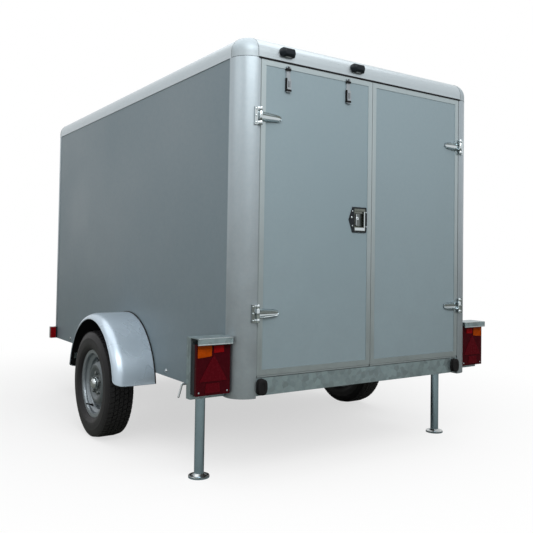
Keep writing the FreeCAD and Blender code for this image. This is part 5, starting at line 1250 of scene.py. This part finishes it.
def marker_pieces():
    """Side marker lamps: black base, red rear lens and clear front lens."""
    low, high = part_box("marker_lamps")
    base = Kit()
    red = Kit()
    clear = Kit()
    split = (low.x + high.x) / 2
    gap = 0.5 * MM
    wall = POST_Y - 1 * MM
    lens = wall + MARKER_BASE - 1 * MM
    for side in SIDES:
        spans = ((base, low.x + 2 * MM, high.x - 2 * MM, wall, wall + MARKER_BASE, 2 * MM),
                 (red, low.x, split - gap, lens, high.y, MARKER_ROUND),
                 (clear, split + gap, high.x, lens, high.y, MARKER_ROUND),
                 (base, split - gap, split + gap, wall + 4 * MM, high.y - 2 * MM, 0.2 * MM))
        for kit, x0, x1, y0, y1, soft in spans:
            a, b = ordered(side * y0, side * y1)
            kit.block((x0, a, low.z + 1 * MM), (x1, b, high.z - 1 * MM), soft, 3)
    base.make("marker_bases", "root", "black_plastic", BLACK)
    clear.make("marker_front_lenses", "root", "marker_lens", CLEAR)
    piece = red.make("marker_rear_lenses", "root", "marker_lens", BRIGHT_RED)
    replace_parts(piece, "marker_lamps")
    return piece


for piece in (plate_lamp_pieces(), buffer_pieces(), marker_pieces()):
    print(piece.name, len(piece.data.polygons), "faces")

# %% [markdown]
# Seals close the gaps that a solid model leaves open: a black drip seal under the rear rail with
# a bright lip above it, seals round both doors in a grey that paints light into the door gaps, and a
# filler strip where the doors meet.

# %% Seals and drip edges
DRIP_PAST_DOOR = 14 * MM
LIP_PAST_DOOR = 17 * MM
SIDE_SEAL = (-0.5 * MM, 3.4 * MM)
FOOT_SEAL = (-9 * MM, 1 * MM)
SEAL_BACK = 9 * MM
SEAL_ROUND = 0.8 * MM
FILLER_WIDTH = 3.6 * MM


def seal_pieces():
    """Rubber and profile strips round the doors."""
    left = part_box("left_door_frame")
    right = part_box("right_door_frame")
    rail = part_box("corner_posts")[1].z
    edge = left[1].y
    reach = edge + DRIP_PAST_DOOR
    drip = Kit().block((DOOR_X - 4 * MM, -reach, left[1].z + 1.2 * MM), (DOOR_X + 10 * MM, reach, rail + 1.8 * MM),
                       1 * MM)
    drip.make("drip_seal", "root", "black_rubber", RUBBER)
    reach = edge + LIP_PAST_DOOR
    lip = Kit().block((DOOR_X - 4.5 * MM, -reach, rail + 1.6 * MM), (DOOR_X + 1 * MM, reach, rail + 5 * MM), 1.2 * MM)
    lip.make("drip_lip", "root", "aluminium_profile", LIT_RAIL)
    for side, low, high in ((1, *left), (-1, *right)):
        name = side_name(side)
        y0, y1 = ordered(*(side * (edge + y) for y in SIDE_SEAL))
        seal = Kit().block((DOOR_X + 1.2 * MM, y0, low.z), (DOOR_X + SEAL_BACK, y1, high.z), SEAL_ROUND)
        inner = min(low.y, high.y, key=abs)
        y0, y1 = ordered(inner + side * 1 * MM, side * edge)
        seal.block((DOOR_X + 2.5 * MM, y0, low.z + FOOT_SEAL[0]), (DOOR_X + SEAL_BACK, y1, low.z + FOOT_SEAL[1]),
                   SEAL_ROUND)
        seal.make(name + "_door_seal_painted_light", name + "_door", "black_rubber", LIGHTENED_SEAL)
    y1 = left[0].y + 0.3 * MM
    filler = Kit().block((DOOR_X + 0.6 * MM, y1 - FILLER_WIDTH, left[0].z), (DOOR_X + 8 * MM, y1, left[1].z), 0.6 * MM)
    filler.make("centre_strip", "left_door", "aluminium_profile", FRAME)


seal_pieces()
print("seals placed between", len(SIDES), "doors")

# %% [markdown]
# Where the roof rails, the cast corners and the posts meet, a hair of dark sealant shows.  Each
# joint is a thin bead along the rail's section or round the post, sunk so that it barely stands out.

# %% Joint lines
RAIL_ROUND = 70 * MM
CORNER_ROUND = 87 * MM
BEAD = 2.0 * MM
BEAD_PROUD = 0.5 * MM
BEAD_TOP = 79


def joint_beads():
    """Sealant lines at the corner caps."""
    kit = Kit()
    low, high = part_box("corner_posts")
    base = high.z
    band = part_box("roof_rails")[1].z - RAIL_ROUND
    inset = BEAD - BEAD_PROUD

    def arc(radius, degrees):
        """Points of a quarter round of some radius, sunk by the inset."""
        return [((radius - inset) * math.cos(math.radians(a)), (radius - inset) * math.sin(math.radians(a)))
                for a in degrees]

    section = [(inset, base + 2 * MM), (inset, band)]
    section += [(RAIL_ROUND - c, band + s) for c, s in arc(RAIL_ROUND, range(6, BEAD_TOP, 6))]
    for side in SIDES:
        outer = side * high.y
        y = outer - side * CORNER_ROUND
        for end, way in ((low.x, 1), (high.x, -1)):
            x = end + way * CORNER_ROUND
            kit.sweep([(x, outer - side * d, z) for d, z in section], BEAD, 6)
            kit.sweep([(end + way * d, y, z) for d, z in section], BEAD, 6)
            kit.sweep([(x - way * c, y + side * s, base) for c, s in arc(CORNER_ROUND, range(0, 91, 6))], BEAD, 6)
    return kit.make("joint_beads", "root", "black_rubber", SEALANT)


print("joint bead faces:", len(joint_beads().data.polygons))

# %% [markdown]
# Bolt heads tell the eye how the body is put together.  They are gathered into one mesh per
# finish.

# %% Bolts
WALL_BOLTS = (177, 696, 1720, 2249)
WALL_BOLT_HEIGHT = 28 * MM
WALL_BOLT = (7 * MM, 6 * MM)


def body_bolts():
    """Bolt heads along the foot of both walls."""
    kit = Kit()
    low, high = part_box("left_wall")
    for x in WALL_BOLTS:
        for side in SIDES:
            kit.bolt((DOOR_X + x * MM, side * high.y, low.z + WALL_BOLT_HEIGHT), (0, side, 0), *WALL_BOLT)
    return kit.make("body_bolts", "root", "zinc_plated_steel", BRIGHT_ZINC)


print("bolt faces:", len(body_bolts().data.polygons))

# %% [markdown]
# Each prop stand ends in a pressed foot: a dish with a rolled rim and a weld round the tube.

# %% Stand feet
FOOT_EDGE = ((2, 5), (0.3, 6.5), (0.3, 9), (2.5, 10), (6, 8.5))
FOOT_WELD = ((36, 8), (29, 11), (25, 17), (22, 19))
FOOT_BORE = (22, 5)


def foot_pieces(side):
    """The dish on one stand's foot."""
    name = side_name(side)
    low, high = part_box(name + "_prop_stand")
    centre = ((low.x + high.x) / 2, (low.y + high.y) / 2, low.z)
    radius = (high.x - low.x) / 2
    dish = scaled((FOOT_BORE,)) + [(radius - r * MM, z * MM) for r, z in FOOT_EDGE] + scaled(FOOT_WELD)
    piece = Kit().lathe(dish, centre, (0, 0, 1), 64, closed=True)
    return piece.make(name + "_foot_dish", name + "_stand", "stand_steel", BRIGHT_ZINC)


for side in SIDES:
    print("foot faces:", len(foot_pieces(side).data.polygons))

# %% [markdown]
# The floor is a pale sheet that takes the shadow and fades to white further out, so that no
# horizon line cuts behind the trailer.  To reflections and bounced light it is as dark as tarmac,
# which gives polished metal something to draw its edges with.

# %% Floor
FLOOR_SEEN = (0.82, 0.82, 0.82)
FLOOR_BOUNCE = (0.26, 0.27, 0.24)
FLOOR_REACH = 40
FADE_START = 0.5
FADE_END = 3.2
FADE_LEAST = 0.6


def build_floor():
    """A large sheet just under the wheels that fades into the white around it."""
    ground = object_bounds()[0].z
    kit = Kit().block((-FLOOR_REACH, -FLOOR_REACH, ground - 20 * MM), (FLOOR_REACH, FLOOR_REACH, ground - 0.5 * MM))
    mesh = bpy.data.meshes.new("studio_floor")
    kit.mesh.to_mesh(mesh)
    kit.mesh.free()
    floor = bpy.data.objects.new("studio_floor", mesh)
    scene.collection.objects.link(floor)
    material = bpy.data.materials.new("studio_floor")
    material.use_nodes = True
    tree = material.node_tree
    shader = tree.nodes["Principled BSDF"]
    shader.inputs["Roughness"].default_value = 0.9
    glow = add_node(tree, "Emission", {"Color": (1, 1, 1, 1), "Strength": 1.0})
    mix = add_node(tree, "MixShader")
    place = add_node(tree, "TexCoord")
    distance = add_node(tree, "VectorMath", operation="LENGTH")
    fade = add_node(tree, "MapRange", {"From Min": FADE_START, "From Max": FADE_END, "To Min": FADE_LEAST},
                    interpolation_type="SMOOTHSTEP")
    path = add_node(tree, "LightPath")
    shade = add_node(tree, "Mix", data_type="RGBA")
    shade.inputs[6].default_value = (*FLOOR_BOUNCE, 1)
    shade.inputs[7].default_value = (*FLOOR_SEEN, 1)
    tree.links.new(path.outputs["Is Camera Ray"], shade.inputs[0])
    tree.links.new(shade.outputs[2], shader.inputs["Base Color"])
    tree.links.new(place.outputs["Object"], distance.inputs[0])
    tree.links.new(distance.outputs["Value"], fade.inputs["Value"])
    tree.links.new(times(tree, fade.outputs["Result"], path.outputs["Is Camera Ray"]), mix.inputs[0])
    tree.links.new(shader.outputs[0], mix.inputs[1])
    tree.links.new(glow.outputs[0], mix.inputs[2])
    tree.links.new(mix.outputs[0], tree.nodes["Material Output"].inputs["Surface"])
    mesh.materials.append(material)


build_floor()
print("floor placed")
